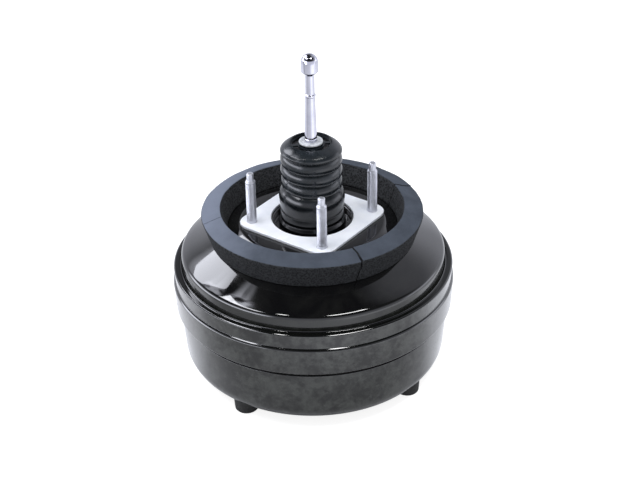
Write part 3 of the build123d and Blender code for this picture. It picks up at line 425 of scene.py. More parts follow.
def arc_corner(before, corner, after, radius, steps):
    """Points of the arc that rounds one corner of an outline."""
    a = Vector(before) - Vector(corner)
    b = Vector(after) - Vector(corner)
    turn = a.angle(b)
    if radius <= 0 or turn > STRAIGHT:
        return [tuple(corner)]
    cut = min(radius / tan(turn / 2), LONGEST_CUT * a.length, LONGEST_CUT * b.length)
    radius = cut * tan(turn / 2)
    start = Vector(corner) + a.normalized() * cut
    end = Vector(corner) + b.normalized() * cut
    between = (a.normalized() + b.normalized()).normalized()
    centre = Vector(corner) + between * (radius / sin(turn / 2))
    swing = (start - centre).angle(end - centre)
    sign = 1 if a.x * b.y - a.y * b.x < 0 else -1
    arm = start - centre
    points = []
    for i in range(steps + 1):
        t = sign * swing * i / steps
        points.append((centre.x + arm.x * cos(t) - arm.y * sin(t),
                       centre.y + arm.x * sin(t) + arm.y * cos(t)))
    return points


def rounded(outline, radii, steps, closed=True):
    """An outline with its corners rounded; radii is one value, or one for each corner."""
    n = len(outline)
    if isinstance(radii, (int, float)):
        radii = [radii] * n
    points = []
    for i, corner in enumerate(outline):
        if not closed and i in (0, n - 1):
            points.append(tuple(corner))
        else:
            points += arc_corner(outline[i - 1], corner, outline[(i + 1) % n], radii[i], steps)
    return points


def corners_of(rows):
    """Splits rows of (radius, height, corner radius) into an outline and its corner radii."""
    return [(r, z) for r, z, _ in rows], [corner for _, _, corner in rows]


def finer(outline, spacing):
    """A closed outline with points added along its sides, about the spacing apart."""
    points = []
    for i, a in enumerate(outline):
        b = outline[(i + 1) % len(outline)]
        steps = max(1, round(hypot(b[0] - a[0], b[1] - a[1]) / spacing))
        for k in range(steps):
            points.append((a[0] + (b[0] - a[0]) * k / steps, a[1] + (b[1] - a[1]) * k / steps))
    return points


def parallel(path, gap):
    """The path moved by gap to the right of its own direction, with mitred corners."""
    moved = []
    for i, point in enumerate(path):
        normals = []
        for a, b in zip(path[max(i - 1, 0):i + 1], path[max(i, 1):i + 2]):
            run = hypot(b[0] - a[0], b[1] - a[1])
            normals.append(((b[1] - a[1]) / run, (a[0] - b[0]) / run))
        nr = sum(n[0] for n in normals) / len(normals)
        nz = sum(n[1] for n in normals) / len(normals)
        scale = gap / (nr * nr + nz * nz)
        moved.append((point[0] + nr * scale, point[1] + nz * scale))
    return moved


def lathe(bm, outline, turns, closed=True, start=0.0, sweep=FULL_TURN, wobble=None):
    """Turns an outline of (radius, height) points round Z into a mesh, and returns its rows."""
    whole = sweep >= FULL_TURN
    count = turns if whole else turns + 1
    rows = []
    for j in range(count):
        a = start + sweep * j / turns
        row = []
        for r, z in outline:
            dr, dz = wobble(r, z, a) if wobble else (0, 0)
            place = ((r + dr) * cos(a) * MM, (r + dr) * sin(a) * MM, (z + dz) * MM)
            row.append(bm.verts.new(place))
        rows.append(row)
    n = len(outline)
    for j in range(turns):
        here, there = rows[j], rows[(j + 1) % count]
        for i in range(n if closed else n - 1):
            k = (i + 1) % n
            bm.faces.new((here[i], there[i], there[k], here[k]))
    if not whole:
        bm.faces.new(rows[0])
        bm.faces.new(reversed(rows[-1]))
    return rows


def ring(bm, x, y, turns, shape):
    """A row of points round an upright axis; shape gives radius and height for a bearing."""
    row = []
    for j in range(turns):
        a = FULL_TURN * j / turns
        r, z = shape(a)
        row.append(bm.verts.new(((x + r * cos(a)) * MM, (y + r * sin(a)) * MM, z * MM)))
    return row


def skin_rows(bm, rows):
    """Joins rows of points into a closed skin."""
    for low, high in zip(rows, rows[1:]):
        for j in range(len(low)):
            k = (j + 1) % len(low)
            bm.faces.new((low[j], low[k], high[k], high[j]))
    bm.faces.new(reversed(rows[0]))
    bm.faces.new(rows[-1])


def finish_mesh(bm, name):
    bmesh.ops.remove_doubles(bm, verts=bm.verts, dist=MERGE)
    bmesh.ops.recalc_face_normals(bm, faces=bm.faces)
    mesh = bpy.data.meshes.new(name)
    bm.to_mesh(mesh)
    bm.free()
    return mesh


def mark_sharp(mesh, angle):
    """Edges that turn by more than the angle stay sharp."""
    bm = bmesh.new()
    bm.from_mesh(mesh)
    for edge in bm.edges:
        if len(edge.link_faces) == 2:
            edge.smooth = edge.calc_face_angle(0) < angle
    bm.to_mesh(mesh)
    bm.free()


def new_object(name, mesh, material, body, slot, *nodes, smooth_angle=35):
    """A piece that stands for CAD nodes; a piece that will blend gets no body."""
    piece = bpy.data.objects.new(name, mesh)
    scene.collection.objects.link(piece)
    mesh.materials.clear()
    mesh.materials.append(material)
    mesh.shade_smooth()
    mark_sharp(mesh, radians(smooth_angle))
    if body:
        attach(piece, body)
    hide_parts(*nodes)
    return piece


def turned(name, outline, material, body, slot, node, turns):
    bm = bmesh.new()
    lathe(bm, outline, turns)
    new_object(name, finish_mesh(bm, name), material, body, slot, node)


# Shells: rows of radius, height and corner radius along the outer face
SHEET = 1.6
RIM_TOP = 118.5
SHELL_LOW_R = 132.2
SHELL_LOW = 9.5
SHELL_CORNER = 18.9
FRONT_ROWS = [
    # Rolled rim, first band and the ledge below it
    (136.0, RIM_TOP, 0.0), (139.7, RIM_TOP, 1.6), (141.0, 117.55, 1.2), (140.1, 103.2, 0.5),
    (141.25, 102.35, 3.0), (142.3, 100.8, 1.6),
    # Second band, the seam notch and the third band
    (140.8, 74.3, 2.0), (138.8, 72.3, 0.7), (134.4, 72.3, 0.3), (134.4, 71.0, 0.3),
    (136.8, 68.6, 0.5), (SHELL_LOW_R, SHELL_LOW, SHELL_CORNER),
    # Recess for the master cylinder, its raised pad and the pilot hole
    (88.0, SHELL_LOW, 4.0), (85.0, 33.0, 4.0), (56.5, 33.0, 0.8), (56.5, 32.0, 0.4),
    (20.0, 32.0, 0.0),
]
REAR_ROWS = [
    # Skirt inside the rim, then the dome with its slight crown
    (138.4, 106.7, 0.0), (138.4, 116.9, 1.5), (132.7, 116.9, 2.0), (132.7, 132.3, 6.0),
    (126.0, 136.4, 110.0), (118.0, 140.5, 180.0), (72.5, 163.4, 10.0),
    # Hub and the channel round the neck
    (39.0, 163.4, 1.6), (39.0, 156.0, 1.6), (29.5, 156.0, 1.6), (29.5, 168.0, 0.0),
]
SHELL_TURNS = 256
TIGHTEST_BEND = 0.3


def sheet_outline(rows, side):
    """Outline of a sheet of even thickness along a path, with rounded corners."""
    path, rounds = corners_of(rows)
    inner_rounds = []
    for i, r in enumerate(rounds):
        if r <= 0:
            inner_rounds.append(0.0)
            continue
        a, b, c = (Vector(path[k]) for k in (i - 1, i, i + 1))
        bend = (b - a).x * (c - b).y - (b - a).y * (c - b).x
        inner_rounds.append(max(r - SHEET, TIGHTEST_BEND) if bend * side < 0 else r + SHEET)
    outer_line = rounded(path, rounds, closed=False, steps=8)
    inner_line = rounded(parallel(path, side * SHEET), inner_rounds, closed=False, steps=8)
    return outer_line + inner_line[::-1]


def add_shells(front_material, rear_material):
    turned("front_shell_skin", sheet_outline(FRONT_ROWS, 1), front_material,
           "housing", "black_paint", "front_shell", SHELL_TURNS)
    turned("rear_shell_skin", sheet_outline(REAR_ROWS, -1), rear_material,
           "housing", "black_paint", "rear_shell", SHELL_TURNS)


# Foam seal: its section, from the outer foot over the top to the inner foot
FOAM_SECTION = [(102.6, 148.2), (110.6, 173.8), (91.7, 179.6), (84.6, 157.4)]
FOAM_LOW_R, FOAM_HIGH_R = 84.6, 110.6
FOAM_CORNER = 1.1
# Spacing of its points: millimetres along the section, and degrees round the axis
FOAM_SPACING = 2.0
FOAM_TURN_STEP = 1.5
# Where the lengths meet: bearing, gap at the inner and the outer wall, how far the slit wanders,
# and how far the length that follows stands up there
Slit = namedtuple("Slit", "bearing gap_in gap_out wander lift")
FOAM_SLITS = (
    Slit(-129.5, gap_in=0.5, gap_out=0.5, wander=0.5, lift=0.0),
    Slit(-29.5, gap_in=0.4, gap_out=1.7, wander=1.5, lift=0.9),
    Slit(60.3, gap_in=1.2, gap_out=0.7, wander=1.3, lift=0.3),
)
# Rows of points that move with a slit, with a raised end, and with the end before it, which sinks
SLIT_ROWS, RAISED_ROWS, SUNK_ROWS = 4, 14, 10
SUNK_SHARE = 0.4
RAISED_FROM, RAISED_OVER = 150.0, 26.0
RAISED_SPREAD = 0.004
# Unevenness of the walls: noise per millimetre, and its depth, for a slow and a fine drift
SLOW_DRIFT, SLOW_DEPTH = 0.045, 0.55
FINE_DRIFT, FINE_DEPTH = 0.35, 0.20
FINE_PLACE = Vector((7, 3, 1))
# It grows with the height from here, over this much, from this share; and how far it lifts the top
DRIFT_FROM, DRIFT_OVER = 158.0, 20.0
DRIFT_AT_FOOT = 0.25
DRIFT_LIFT = 0.8
# Waves of a slit: share of its wander, place in the noise, and noise per millimetre of radius and
# of height
SLIT_WAVES = ((2, 0, 0.05, 0.13), (0.5, 9, 0.2, 0.4))
# Roughness of the cut faces: depth, noise per millimetre, and how far apart two faces' noises lie
FACE_DEPTH, FACE_NOISE, FACE_APART = 0.18, 0.6, 40


def foam_wobble(r, z, a):
    """Unevenness of the foam, which grows with the height."""
    place = Vector((r * cos(a), r * sin(a), z))
    slow = noise.noise(place * SLOW_DRIFT) * SLOW_DEPTH
    fine = noise.noise(place * FINE_DRIFT + FINE_PLACE) * FINE_DEPTH
    lift = max(0.0, (z - DRIFT_FROM) / DRIFT_OVER)
    return (slow + fine) * min(1.0, lift + DRIFT_AT_FOOT), slow * DRIFT_LIFT * lift


def slit_turn(slit, side, v):
    """Angle by which a cut face stands off its slit; both sides of a slit wander together."""
    r, z = hypot(v.co.x, v.co.y) / MM, v.co.z / MM
    shift = 0.0
    for share, offset, per_r, per_z in SLIT_WAVES:
        place = Vector((slit.bearing + offset, r * per_r, z * per_z))
        shift += noise.noise(place) * share * slit.wander
    rough = noise.noise(Vector((side * FACE_APART, r * FACE_NOISE, z * FACE_NOISE))) * FACE_DEPTH
    part = clamp((r - FOAM_LOW_R) / (FOAM_HIGH_R - FOAM_LOW_R))
    gap = slit.gap_in + (slit.gap_out - slit.gap_in) * part
    return (shift + side * (gap / 2 + rough)) / r


def add_foam(material):
    """Foam ring in lengths that meet at the slits, with cut faces that are a little uneven."""
    bm = bmesh.new()
    section = finer(rounded(FOAM_SECTION, FOAM_CORNER, steps=3), FOAM_SPACING)
    for i, slit in enumerate(FOAM_SLITS):
        end = FOAM_SLITS[(i + 1) % len(FOAM_SLITS)]
        sweep = radians((end.bearing - slit.bearing) % 360)
        turns = round(sweep / radians(FOAM_TURN_STEP))
        start = radians(slit.bearing)
        rows = lathe(bm, section, turns, start=start, sweep=sweep, wobble=foam_wobble)
        for j, row in enumerate(rows):
            left = turns - j
            near, far = max(0.0, 1 - j / SLIT_ROWS), max(0.0, 1 - left / SLIT_ROWS)
            raised = slit.lift * max(0.0, 1 - j / RAISED_ROWS)
            raised -= SUNK_SHARE * end.lift * max(0.0, 1 - left / SUNK_ROWS)
            for v in row:
                height = clamp((v.co.z / MM - RAISED_FROM) / RAISED_OVER)
                turn = near * slit_turn(slit, 1, v) + far * slit_turn(end, -1, v)
                v.co = Matrix.Rotation(turn, 3, "Z") @ v.co
                v.co.z += raised * height * MM
                v.co.x *= 1 + raised * height * RAISED_SPREAD
                v.co.y *= 1 + raised * height * RAISED_SPREAD
    mesh = finish_mesh(bm, "foam_ring")
    piece = new_object("foam_ring", mesh, material, "housing", "foam", "foam_seal",
                       smooth_angle=50)


# Mounting plate
PLATE_LOW = 163.4
PLATE_TOP = 166.4
PLATE_HALF = 55.5
PLATE_CORNER = 15.0
PLATE_HOLE = 41.0
PLATE_BEVEL = 0.45
PLATE_SPACING = 6


def outward(point, by):
    """A level point moved away from the axis."""
    x, y = point
    return x + by * x / hypot(x, y), y + by * y / hypot(x, y)


def add_plate(material):
    """Square plate with a round hole; its edges are broken by a small bevel."""
    bm = bmesh.new()
    half = PLATE_HALF
    corners = [(half, half), (-half, half), (-half, -half), (half, -half)]
    outer = finer(rounded(corners, PLATE_CORNER, steps=10), PLATE_SPACING)
    bearings = [atan2(y, x) for x, y in outer]
    inner = [(PLATE_HOLE * cos(a), PLATE_HOLE * sin(a)) for a in bearings]
    levels = []
    for z, inset in ((PLATE_LOW + PLATE_BEVEL, 0), (PLATE_LOW, PLATE_BEVEL),
                     (PLATE_TOP, PLATE_BEVEL), (PLATE_TOP - PLATE_BEVEL, 0)):
        loops = []
        for line, by in ((outer, -inset), (inner, inset)):
            moved = [outward(point, by) for point in line]
            loops.append([bm.verts.new((x * MM, y * MM, z * MM)) for x, y in moved])
        levels.append(loops)
    low_edge, low, top, top_edge = levels
    section = [low_edge[0], top_edge[0], top[0], top[1], top_edge[1], low_edge[1], low[1], low[0]]
    for i in range(len(outer)):
        k = (i + 1) % len(outer)
        for a, b in zip(section, section[1:] + section[:1]):
            bm.faces.new((a[i], a[k], b[k], b[i]))
    new_object("plate_skin", finish_mesh(bm, "plate_skin"), material, "housing", "zinc_plate",
               "mounting_plate", smooth_angle=30)


# Studs: places, plain ends as radius and height, and thread as low, high, radius, pitch and depth
STUD_PLACES = [(x, y) for x in (-42.85, 42.85) for y in (-42.85, 42.85)]
STUD_HEAD = [
    (8.0, 158.8), (8.5, 159.3), (8.5, 161.8), (5.4, 161.8), (5.4, 166.4), (5.0, 166.5),
    (5.0, 168.9),
]
STUD_THREAD = (169.0, 210.8, 5.0, 1.5, 0.45)
STUD_NOSE = [
    (4.9, 211.0), (4.6, 211.8), (3.6, 212.9), (3.5, 213.3), (3.5, 219.3), (3.2, 220.0),
    (2.6, 220.4),
]
CYLINDER_STUD_PLACES = [(-40.0, 0), (40.0, 0)]
CYLINDER_STUD_NOSE = [(3.2, 8.0), (3.9, 8.9)]
CYLINDER_STUD_THREAD = (9.0, 28.0, 4.0, 1.25, 0.7)
CYLINDER_STUD_HEAD = [
    (4.0, 28.2), (4.0, 31.9), (4.4, 32.0), (4.4, 36.6), (6.5, 36.6), (6.5, 38.2), (6.1, 38.6),
]
STUD_TURNS = 28
# A thread's rows in one pitch, its run-in and run-out in pitches, and its steepness and flat crest
PITCH_ROWS = 6
THREAD_IN, THREAD_OUT = 2, 1.2
THREAD_STEEP, THREAD_FLAT = 1.35, 0.12


def thread_rows(bm, x, y, low, high, radius, pitch, depth):
    """A screw thread as rows of points that climb with the turn; its ends fade out."""
    rows = []
    count = round((high - low) / pitch * PITCH_ROWS)
    for i in range(count + 1):
        z = low + (high - low) * i / count
        fade = min(1.0, (z - low) / (THREAD_IN * pitch), (high - z) / (THREAD_OUT * pitch))

        def shape(a):
            phase = (z / pitch - a / FULL_TURN) % 1.0
            cut = 1 - abs(2 * phase - 1)
            return radius - depth * fade * clamp(cut * THREAD_STEEP - THREAD_FLAT), z

        rows.append(ring(bm, x, y, STUD_TURNS, shape))
    return rows


def plain_rows(bm, x, y, outline, turns=STUD_TURNS):
    return [ring(bm, x, y, turns, lambda a, point=point: point) for point in outline]


def add_studs(name, places, low_end, thread, high_end, material, node):
    bm = bmesh.new()
    for x, y in places:
        rows = plain_rows(bm, x, y, low_end)
        rows += thread_rows(bm, x, y, *thread)
        rows += plain_rows(bm, x, y, high_end)
        skin_rows(bm, rows)
    new_object(name, finish_mesh(bm, name), material, "housing", "stud_zinc", node,
               smooth_angle=60)


# Dust boot
BOOT_LOW = 156.1
BOOT_SEAT = 243.8
BOOT_END = 245.2
BOOT_END_TOP = 246.9
BOOT_HOLE = 10.4
BOOT_MOUTH = 249.0
VENT_IN = 13.2
VENT_OUT = 18.6
VENT_HALF = radians(38.0)
BOOT_FOOT = [
    (29.7, BOOT_LOW, 0.4), (33.4, BOOT_LOW, 2.0), (33.4, 164.9, 1.2), (31.0, 168.0, 2.0),
    (31.9, 171.3, 1.2), (31.0, 176.9, 3.0), (32.0, 181.0, 3.0),
]
# Ridges: heights of the grooves below and above, radii of those two, and radius of the ridge
BOOT_RIDGES = [
    (181.0, 200.3, 31.6, 28.5, 32.6), (200.3, 212.8, 28.5, 28.2, 30.4),
    (212.8, 225.0, 28.2, 28.2, 30.4), (225.0, 237.2, 28.2, 28.4, 30.4),
]
RIDGE_STEPS = 12
RIDGE_FULLNESS = 0.75
BOOT_CAP = [
    (28.4, 237.2, 0.0), (30.3, 239.4, 1.6), (30.2, 241.6, 1.8), (28.4, 244.0, 3.0),
    (21.6, BOOT_MOUTH, 0.6),
]
BOOT_INNER = [
    # Mouth, and the end wall with the radii of its vents
    (20.2, BOOT_MOUTH), (20.2, BOOT_END_TOP), (VENT_OUT, BOOT_END_TOP), (VENT_IN, BOOT_END_TOP),
    (BOOT_HOLE, BOOT_END_TOP), (BOOT_HOLE, BOOT_END), (VENT_IN, BOOT_END), (VENT_OUT, BOOT_END),
    (20.2, BOOT_END),
    # Seat on the valve body, then the inner wall down to the neck of the shell
    (20.2, BOOT_SEAT), (23.8, BOOT_SEAT), (23.8, 240.7), (27.3, 237.2), (27.3, 171.4),
    (29.7, 168.4),
]
BOOT_TURNS = 120
# Only the ridged wall is uneven: beyond this radius, fading in and out over these heights
UNEVEN_R = 27.6
UNEVEN_FROM, UNEVEN_IN = 178, 20
UNEVEN_TO, UNEVEN_OUT = 246, 10
# Swell of the wall: its depth, and its noise round the boot and per millimetre of height
SWELL, SWELL_ROUND, SWELL_ALONG = 0.30, 1.3, 0.08
# Lean of the ridges: depth and phase of one wave round the boot, then of two that turn with height
LEAN, LEAN_PHASE = 0.9, 2.1
TWIST, TWIST_PHASE, TWIST_ALONG = 0.35, 0.6, 0.05


def boot_wobble(r, z, a):
    """Slight swell of the boot's wall, and lean of its ridges."""
    if r <= UNEVEN_R:
        return 0, 0
    share = clamp(min((z - UNEVEN_FROM) / UNEVEN_IN, (UNEVEN_TO - z) / UNEVEN_OUT))
    place = Vector((cos(a) * SWELL_ROUND, sin(a) * SWELL_ROUND, z * SWELL_ALONG))
    lean = LEAN * cos(a + LEAN_PHASE) + TWIST * cos(2 * a + TWIST_PHASE + z * TWIST_ALONG)
    return SWELL * noise.noise(place) * share, lean * share


def add_boot(material):
    """Bellows with soft ridges that lean a little, and a vented end."""
    bm = bmesh.new()
    outline = rounded(*corners_of(BOOT_FOOT), closed=False, steps=4)[:-1]
    for low, high, low_r, high_r, ridge_r in BOOT_RIDGES:
        for k in range(RIDGE_STEPS):
            part = k / RIDGE_STEPS
            swell = sin(pi * part) ** RIDGE_FULLNESS
            groove = low_r + (high_r - low_r) * part
            outline.append((groove + (ridge_r - groove) * swell, low + (high - low) * part))
    outline += rounded(*corners_of(BOOT_CAP), closed=False, steps=5)
    outline += BOOT_INNER
    lathe(bm, outline, BOOT_TURNS, wobble=boot_wobble)
    cut_vents(bm)
    mesh = finish_mesh(bm, "boot_bellows")
    piece = new_object("boot_bellows", mesh, material, "housing", "boot_rubber", "dust_boot",
                       smooth_angle=40)
    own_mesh(piece)


def cut_vents(bm):
    """Opens four arc slots in the boot's end: its faces there go, and walls join the rims."""
    holes = []
    for face in bm.faces:
        middle = face.calc_center_median()
        r = hypot(middle.x, middle.y) / MM
        turn = (atan2(middle.y, middle.x) + pi / 4) % (pi / 2) - pi / 4
        if VENT_IN < r < VENT_OUT and abs(turn) < VENT_HALF:
            holes.append(face)
    bmesh.ops.delete(bm, geom=holes, context="FACES")
    rims = [edge for edge in bm.edges if edge.is_boundary]
    bmesh.ops.bridge_loops(bm, edges=rims, use_pairs=True)


# Input rod, from its ball up to its head, and the washer on it
ROD_ROWS = [
    # Ball and its neck
    (0.0, 144.6, 0), (3.0, 145.5, 2), (5.0, 147.9, 2), (5.5, 150.1, 2), (5.0, 152.4, 2),
    (3.4, 154.4, 1), (3.4, 160.9, 0.5),
    # Shank with the collar for its spring, and the shoulder above the washer
    (5.0, 160.9, 0.5), (5.0, 201.3, 0.5), (14.2, 201.3, 0.4), (14.2, 203.3, 0.4),
    (5.0, 203.3, 0.5), (5.0, 250.2, 0.4), (6.25, 250.2, 0.4), (6.25, 253.0, 0.8),
    # Taper, raised ring and neck
    (6.0, 253.6, 1.0), (5.0, 290.0, 4), (5.0, 297.0, 0.4), (5.4, 297.5, 0.3), (5.4, 299.5, 0.5),
    (4.5, 300.1, 0.5), (4.5, 320.0, 1.2),
    # Domed head
    (8.25, 323.0, 1.6), (8.25, 332.8, 3.0), (7.6, 336.0, 3.0), (5.8, 338.7, 3.0),
    (3.2, 340.4, 3.0), (0.0, 341.0, 0),
]
ROD_TURNS = 64
WASHER_SECTION = [
    (5.1, 248.6), (11.75, 248.6), (11.75, 250.2), (8.6, 250.2), (8.2, 249.9), (7.2, 249.9),
    (6.9, 250.2), (5.1, 250.2),
]
WASHER_EDGE = 0.35
WASHER_TURNS = 72


def add_rod(material, washer_material):
    bm = bmesh.new()
    outline = rounded(*corners_of(ROD_ROWS), closed=False, steps=4)
    lathe(bm, outline, ROD_TURNS, closed=False)
    mesh = finish_mesh(bm, "push_rod")
    new_object("push_rod", mesh, material, "input_rod", "rod_chrome", "input_rod", smooth_angle=40)
    turned("rod_washer_skin", rounded(WASHER_SECTION, WASHER_EDGE, steps=3), washer_material,
           "input_rod", "washer_grey", "rod_washer", WASHER_TURNS)


# Feet under the rounded corner of the front shell: radius and height, then radii of the rows that
# follow the shell's underside
FOOT_CIRCLE = 115.5
FOOT_ROWS = [(9.6, 0.0), (11.0, 0.35), (11.8, 1.4), (12.0, 3.0), (12.35, 8.0)]
FOOT_TOP_RADII = (12.7, 9.0, 4.5)
FOOT_TURNS = 48


def shell_underside(x, y):
    """Height of the front shell's rounded corner over a level point."""
    over = min(max(hypot(x, y) - (SHELL_LOW_R - SHELL_CORNER), 0.0), SHELL_CORNER)
    return SHELL_LOW + SHELL_CORNER - sqrt(SHELL_CORNER * SHELL_CORNER - over * over)


def add_feet(material):
    bm = bmesh.new()
    for quarter in range(4):
        x, y = FOOT_CIRCLE * cos(quarter * pi / 2), FOOT_CIRCLE * sin(quarter * pi / 2)
        rows = plain_rows(bm, x, y, FOOT_ROWS, FOOT_TURNS)
        for r in FOOT_TOP_RADII:
            rows.append(ring(bm, x, y, FOOT_TURNS,
                             lambda a: (r, shell_underside(x + r * cos(a), y + r * sin(a)))))
        skin_rows(bm, rows)
    mesh = finish_mesh(bm, "foot_pads")
    new_object("foot_pads", mesh, material, "housing", "seal_rubber", "support_feet",
               smooth_angle=40)


# Inner parts that flex with a joint, copied in place of their CAD nodes; nothing here flexes them
# Springs: node, body, joint, height of the end that stays, share of the length that is left
SPRINGS = [
    ("return_spring", "housing", "piston_stroke", 33.6, 0.343),
    ("rod_return_spring", "power_piston", "valve_slide", 174.3, 0.944),
    ("check_valve_spring", "housing", "check_valve_lift", 20.0, 0.71),
]
# Diaphragms: node, and the heights where it leaves the housing and where it rides the piston
DIAPHRAGMS = [("front_diaphragm", 79.0, 81.8), ("rear_diaphragm", 107.8, 130.8)]


def stand_in(node, material, body, slot):
    """A copy of the CAD node's mesh that takes its place."""
    source = frame["nodes"][node]
    mesh = source.data.copy()
    mesh.transform(source.matrix_world)
    return new_object(node + "_flexed", mesh, material, body, slot, node)


def add_flexing_parts(spring_material, rubber_material):
    for node, body, joint, fixed_z, keep in SPRINGS:
        piece = stand_in(node, spring_material, body, "spring_steel")
        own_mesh(piece)
    for node, start_z, end_z in DIAPHRAGMS:
        piece = stand_in(node, rubber_material, None, "seal_rubber")
        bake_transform(piece)


# Stage and light
FLOOR_HALF = 6.0
LAMP_AIM = Vector((0, 0, 0.12))
WHITE = (1, 1, 1)
# Lamps: name, bearing from the camera's right and height in degrees, distance, size, watts, colour
LAMPS = [
    ("window", 140.7, 40.2, 1.6, (0.46, 0.63), 5.6, (0.90, 0.92, 1.0)),
    ("high_window", 190, 52, 1.5, (0.90, 0.24), 8, (0.93, 0.94, 1.0)),
    ("front_strip", -47, 65, 1.5, (0.60, 0.18), 7, WHITE),
    ("front_spot", 228, 65, 1.5, (0.14, 0.16), 1.6, WHITE),
]
# Even light for matt faces, and the tint of what gloss sees
WORLD_STRENGTH = 0.74
WORLD_TINT = (0.93, 0.96, 1.0)
GLOSS_TINT = (0.88, 0.90, 1.0)
# The sky that gloss sees dims between two sines of the height
SKY_LOW, SKY_HIGH = 0.22, 0.66
SKY_BRIGHT, SKY_DIM = 1.0, 0.03
# Bright regions in it: bearing, height, half width of the core and of the whole in degrees,
# strength, and the sine of the height above which it is gone
NO_TOP = 2.0
CLOUD_REGIONS = [(164.5, 57.5, 5, 9, 6.5, NO_TOP), (150, 43.5, 3, 8, 4.0, NO_TOP)]
PLAIN_REGIONS = [
    (134, 36, 8, 14, 1.4, NO_TOP), (192, 8, 34, 48, 6.0, 0.36), (8, 6, 12, 26, 1.5, 0.40),
    (46, 42, 8, 34, 0.55, NO_TOP),
]
REGION_FADE = 0.15
# Noise that breaks up the cloud regions: its scale and detail, and the values that it runs between
CLOUD_SCALE, CLOUD_DETAIL = 9, 5
CLOUD_LOW, CLOUD_HIGH = 0.34, 0.60


def pointing(azimuth, elevation):
    return Vector((cos(azimuth) * cos(elevation), sin(azimuth) * cos(elevation), sin(elevation)))


def add_stage(material):
    size = FLOOR_HALF
    mesh = bpy.data.meshes.new("floor")
    mesh.from_pydata([(-size, -size, 0), (size, -size, 0), (size, size, 0), (-size, size, 0)], [],
                     [(0, 1, 2, 3)])
    mesh.materials.append(material)
    floor = bpy.data.objects.new("floor", mesh)
    scene.collection.objects.link(floor)


def add_lamp(name, bearing, height, distance, size, watts, colour):
    """A soft lamp that looks at the object."""
    where = LAMP_AIM + distance * pointing(CAMERA_TURN + radians(bearing), radians(height))
    lamp = bpy.data.lights.new(name, "AREA")
    lamp.shape = "RECTANGLE"
    lamp.size, lamp.size_y = size
    lamp.energy = watts
    lamp.color = colour
    holder = bpy.data.objects.new(name, lamp)
    holder.location = where
    holder.rotation_euler = (LAMP_AIM - where).to_track_quat("-Z", "Y").to_euler()
    scene.collection.objects.link(holder)


def add_world():
    """White for the camera, even light for matt faces, and shaped light for gloss."""
    world = bpy.data.worlds.new("world")
    scene.world = world
    world.use_nodes = True
    nodes, links = world.node_tree.nodes, world.node_tree.links
    nodes.clear()
    out = nodes.new("ShaderNodeOutputWorld")
    path = nodes.new("ShaderNodeLightPath")
    turned_to = nodes.new("ShaderNodeVectorRotate")
    turned_to.inputs["Angle"].default_value = -CAMERA_TURN
    links.new(nodes.new("ShaderNodeTexCoord").outputs["Generated"], turned_to.inputs["Vector"])
    direction = turned_to.outputs[0]
    split = nodes.new("ShaderNodeSeparateXYZ")
    links.new(direction, split.inputs[0])
    up = split.outputs["Z"]

    def step(source, low, high, at_low, at_high):
        node = nodes.new("ShaderNodeMapRange")
        node.interpolation_type = "SMOOTHSTEP"
        for socket, value in zip(node.inputs[1:5], (low, high, at_low, at_high)):
            socket.default_value = value
        links.new(source, node.inputs[0])
        return node.outputs[0]

    def combine(kind, a, b):
        node = nodes.new("ShaderNodeMath")
        node.operation = kind
        links.new(a, node.inputs[0])
        links.new(b, node.inputs[1])
        return node.outputs[0]

    def region(bearing, height, core, whole, strength, top):
        dot = nodes.new("ShaderNodeVectorMath")
        dot.operation = "DOT_PRODUCT"
        dot.inputs[1].default_value = pointing(radians(bearing), radians(height))
        links.new(direction, dot.inputs[0])
        glow = step(dot.outputs["Value"], cos(radians(whole)), cos(radians(core)), 0.0, strength)
        return combine("MULTIPLY", glow, step(up, top - REGION_FADE, top, 1.0, 0.0))

    def background(colour):
        node = nodes.new("ShaderNodeBackground")
        node.inputs["Color"].default_value = (*colour, 1)
        return node

    def choose(factor, a, b):
        node = nodes.new("ShaderNodeMixShader")
        for source, socket in zip((factor, a, b), node.inputs):
            links.new(source, socket)
        return node.outputs[0]

    cloud = nodes.new("ShaderNodeTexNoise")
    cloud.inputs["Scale"].default_value = CLOUD_SCALE
    cloud.inputs["Detail"].default_value = CLOUD_DETAIL
    links.new(direction, cloud.inputs["Vector"])
    broken = step(cloud.outputs["Fac"], CLOUD_LOW, CLOUD_HIGH, 0.0, 1.0)
    clouds = combine("ADD", *[region(*row) for row in CLOUD_REGIONS])
    sky = step(up, SKY_LOW, SKY_HIGH, SKY_BRIGHT, SKY_DIM)
    sky = combine("ADD", sky, combine("MULTIPLY", broken, clouds))
    for row in PLAIN_REGIONS:
        sky = combine("ADD", sky, region(*row))
    gloss = background(GLOSS_TINT)
    links.new(sky, gloss.inputs["Strength"])
    plain = background(WORLD_TINT)
    plain.inputs["Strength"].default_value = WORLD_STRENGTH
    lit = choose(path.outputs["Is Glossy Ray"], plain.outputs[0], gloss.outputs[0])
    seen = choose(path.outputs["Is Camera Ray"], lit, background(WHITE).outputs[0])
    links.new(seen, out.inputs["Surface"])


# Build
add_camera()
add_world()
for lamp_row in LAMPS:
    add_lamp(*lamp_row)
add_stage(stage_white())

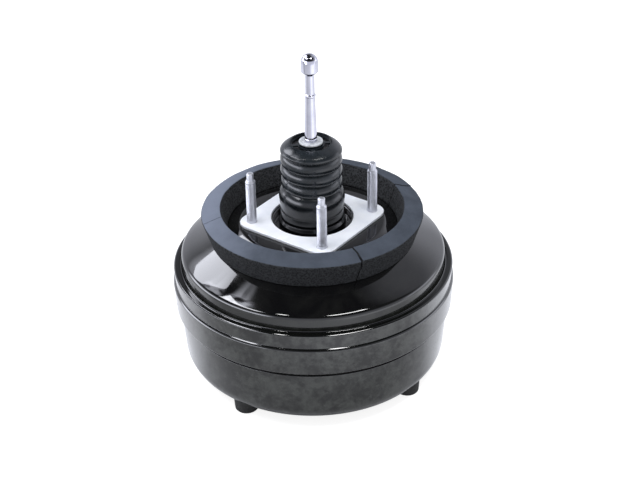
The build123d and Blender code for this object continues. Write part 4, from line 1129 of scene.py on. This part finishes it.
paint = band_paint()
dome = dome_paint()
add_shells(paint, dome)
add_foam(foam())
add_plate(zinc_plate())
steel = stud_steel()
add_studs("threaded_studs", STUD_PLACES, STUD_HEAD, STUD_THREAD, STUD_NOSE, steel,
          "mounting_studs")
add_studs("cylinder_stud_threads", CYLINDER_STUD_PLACES, CYLINDER_STUD_NOSE, CYLINDER_STUD_THREAD,
          CYLINDER_STUD_HEAD, steel, "cylinder_studs")
rubber = boot_rubber()
add_boot(rubber)
add_rod(rod_steel(), washer_resin())
foot_rubber = mottled("foot_rubber", dark=(0.012, 0.012, 0.012), light=(0.030, 0.030, 0.028),
                      size=0.01, rough=(0.45, 0.65))
add_feet(foot_rubber)

# Finish of each slot, for the CAD nodes that stay and the copies that stand in for flexing parts
finishes = {
    "zinc_plate": mottled("inner_zinc", dark=(0.55, 0.56, 0.58), light=(0.75, 0.76, 0.78),
                          size=0.008, rough=(0.25, 0.42), metallic=1.0),
    "stud_zinc": steel,
    "seal_rubber": foot_rubber,
    "plate_steel": mottled("passivated_steel", dark=(0.42, 0.36, 0.20), light=(0.58, 0.52, 0.34),
                           size=0.02, rough=(0.28, 0.45), metallic=0.9),
    "spring_steel": mottled("spring_steel", dark=(0.10, 0.10, 0.11), light=(0.22, 0.22, 0.23),
                            size=0.01, rough=(0.3, 0.5), metallic=0.9),
    "valve_resin": mottled("valve_resin", dark=(0.020, 0.020, 0.019), light=(0.045, 0.045, 0.043),
                           size=0.012, rough=(0.4, 0.6)),
    "filter_felt": mottled("filter_felt", dark=(0.040, 0.040, 0.043), light=(0.11, 0.11, 0.12),
                           size=0.002, rough=(0.9, 1.0), grain=0.0006, depth=0.0002),
    "nylon_black": mottled("nylon_black", dark=(0.010, 0.010, 0.011), light=(0.024, 0.024, 0.026),
                           size=0.01, rough=(0.25, 0.4)),
    "black_paint": dome,
    "foam": foot_rubber,
    "boot_rubber": rubber,
    "rod_chrome": steel,
    "washer_grey": steel,
}
add_flexing_parts(finishes["spring_steel"], foot_rubber)
slot_of = {row["node"]: row["material_slot"] for row in frame["record"]["subparts"]}
for node, piece in frame["nodes"].items():
    piece.data.materials.clear()
    piece.data.materials.append(finishes[slot_of[node]])

scene.view_settings.view_transform = "Standard"
bpy.context.view_layer.update()
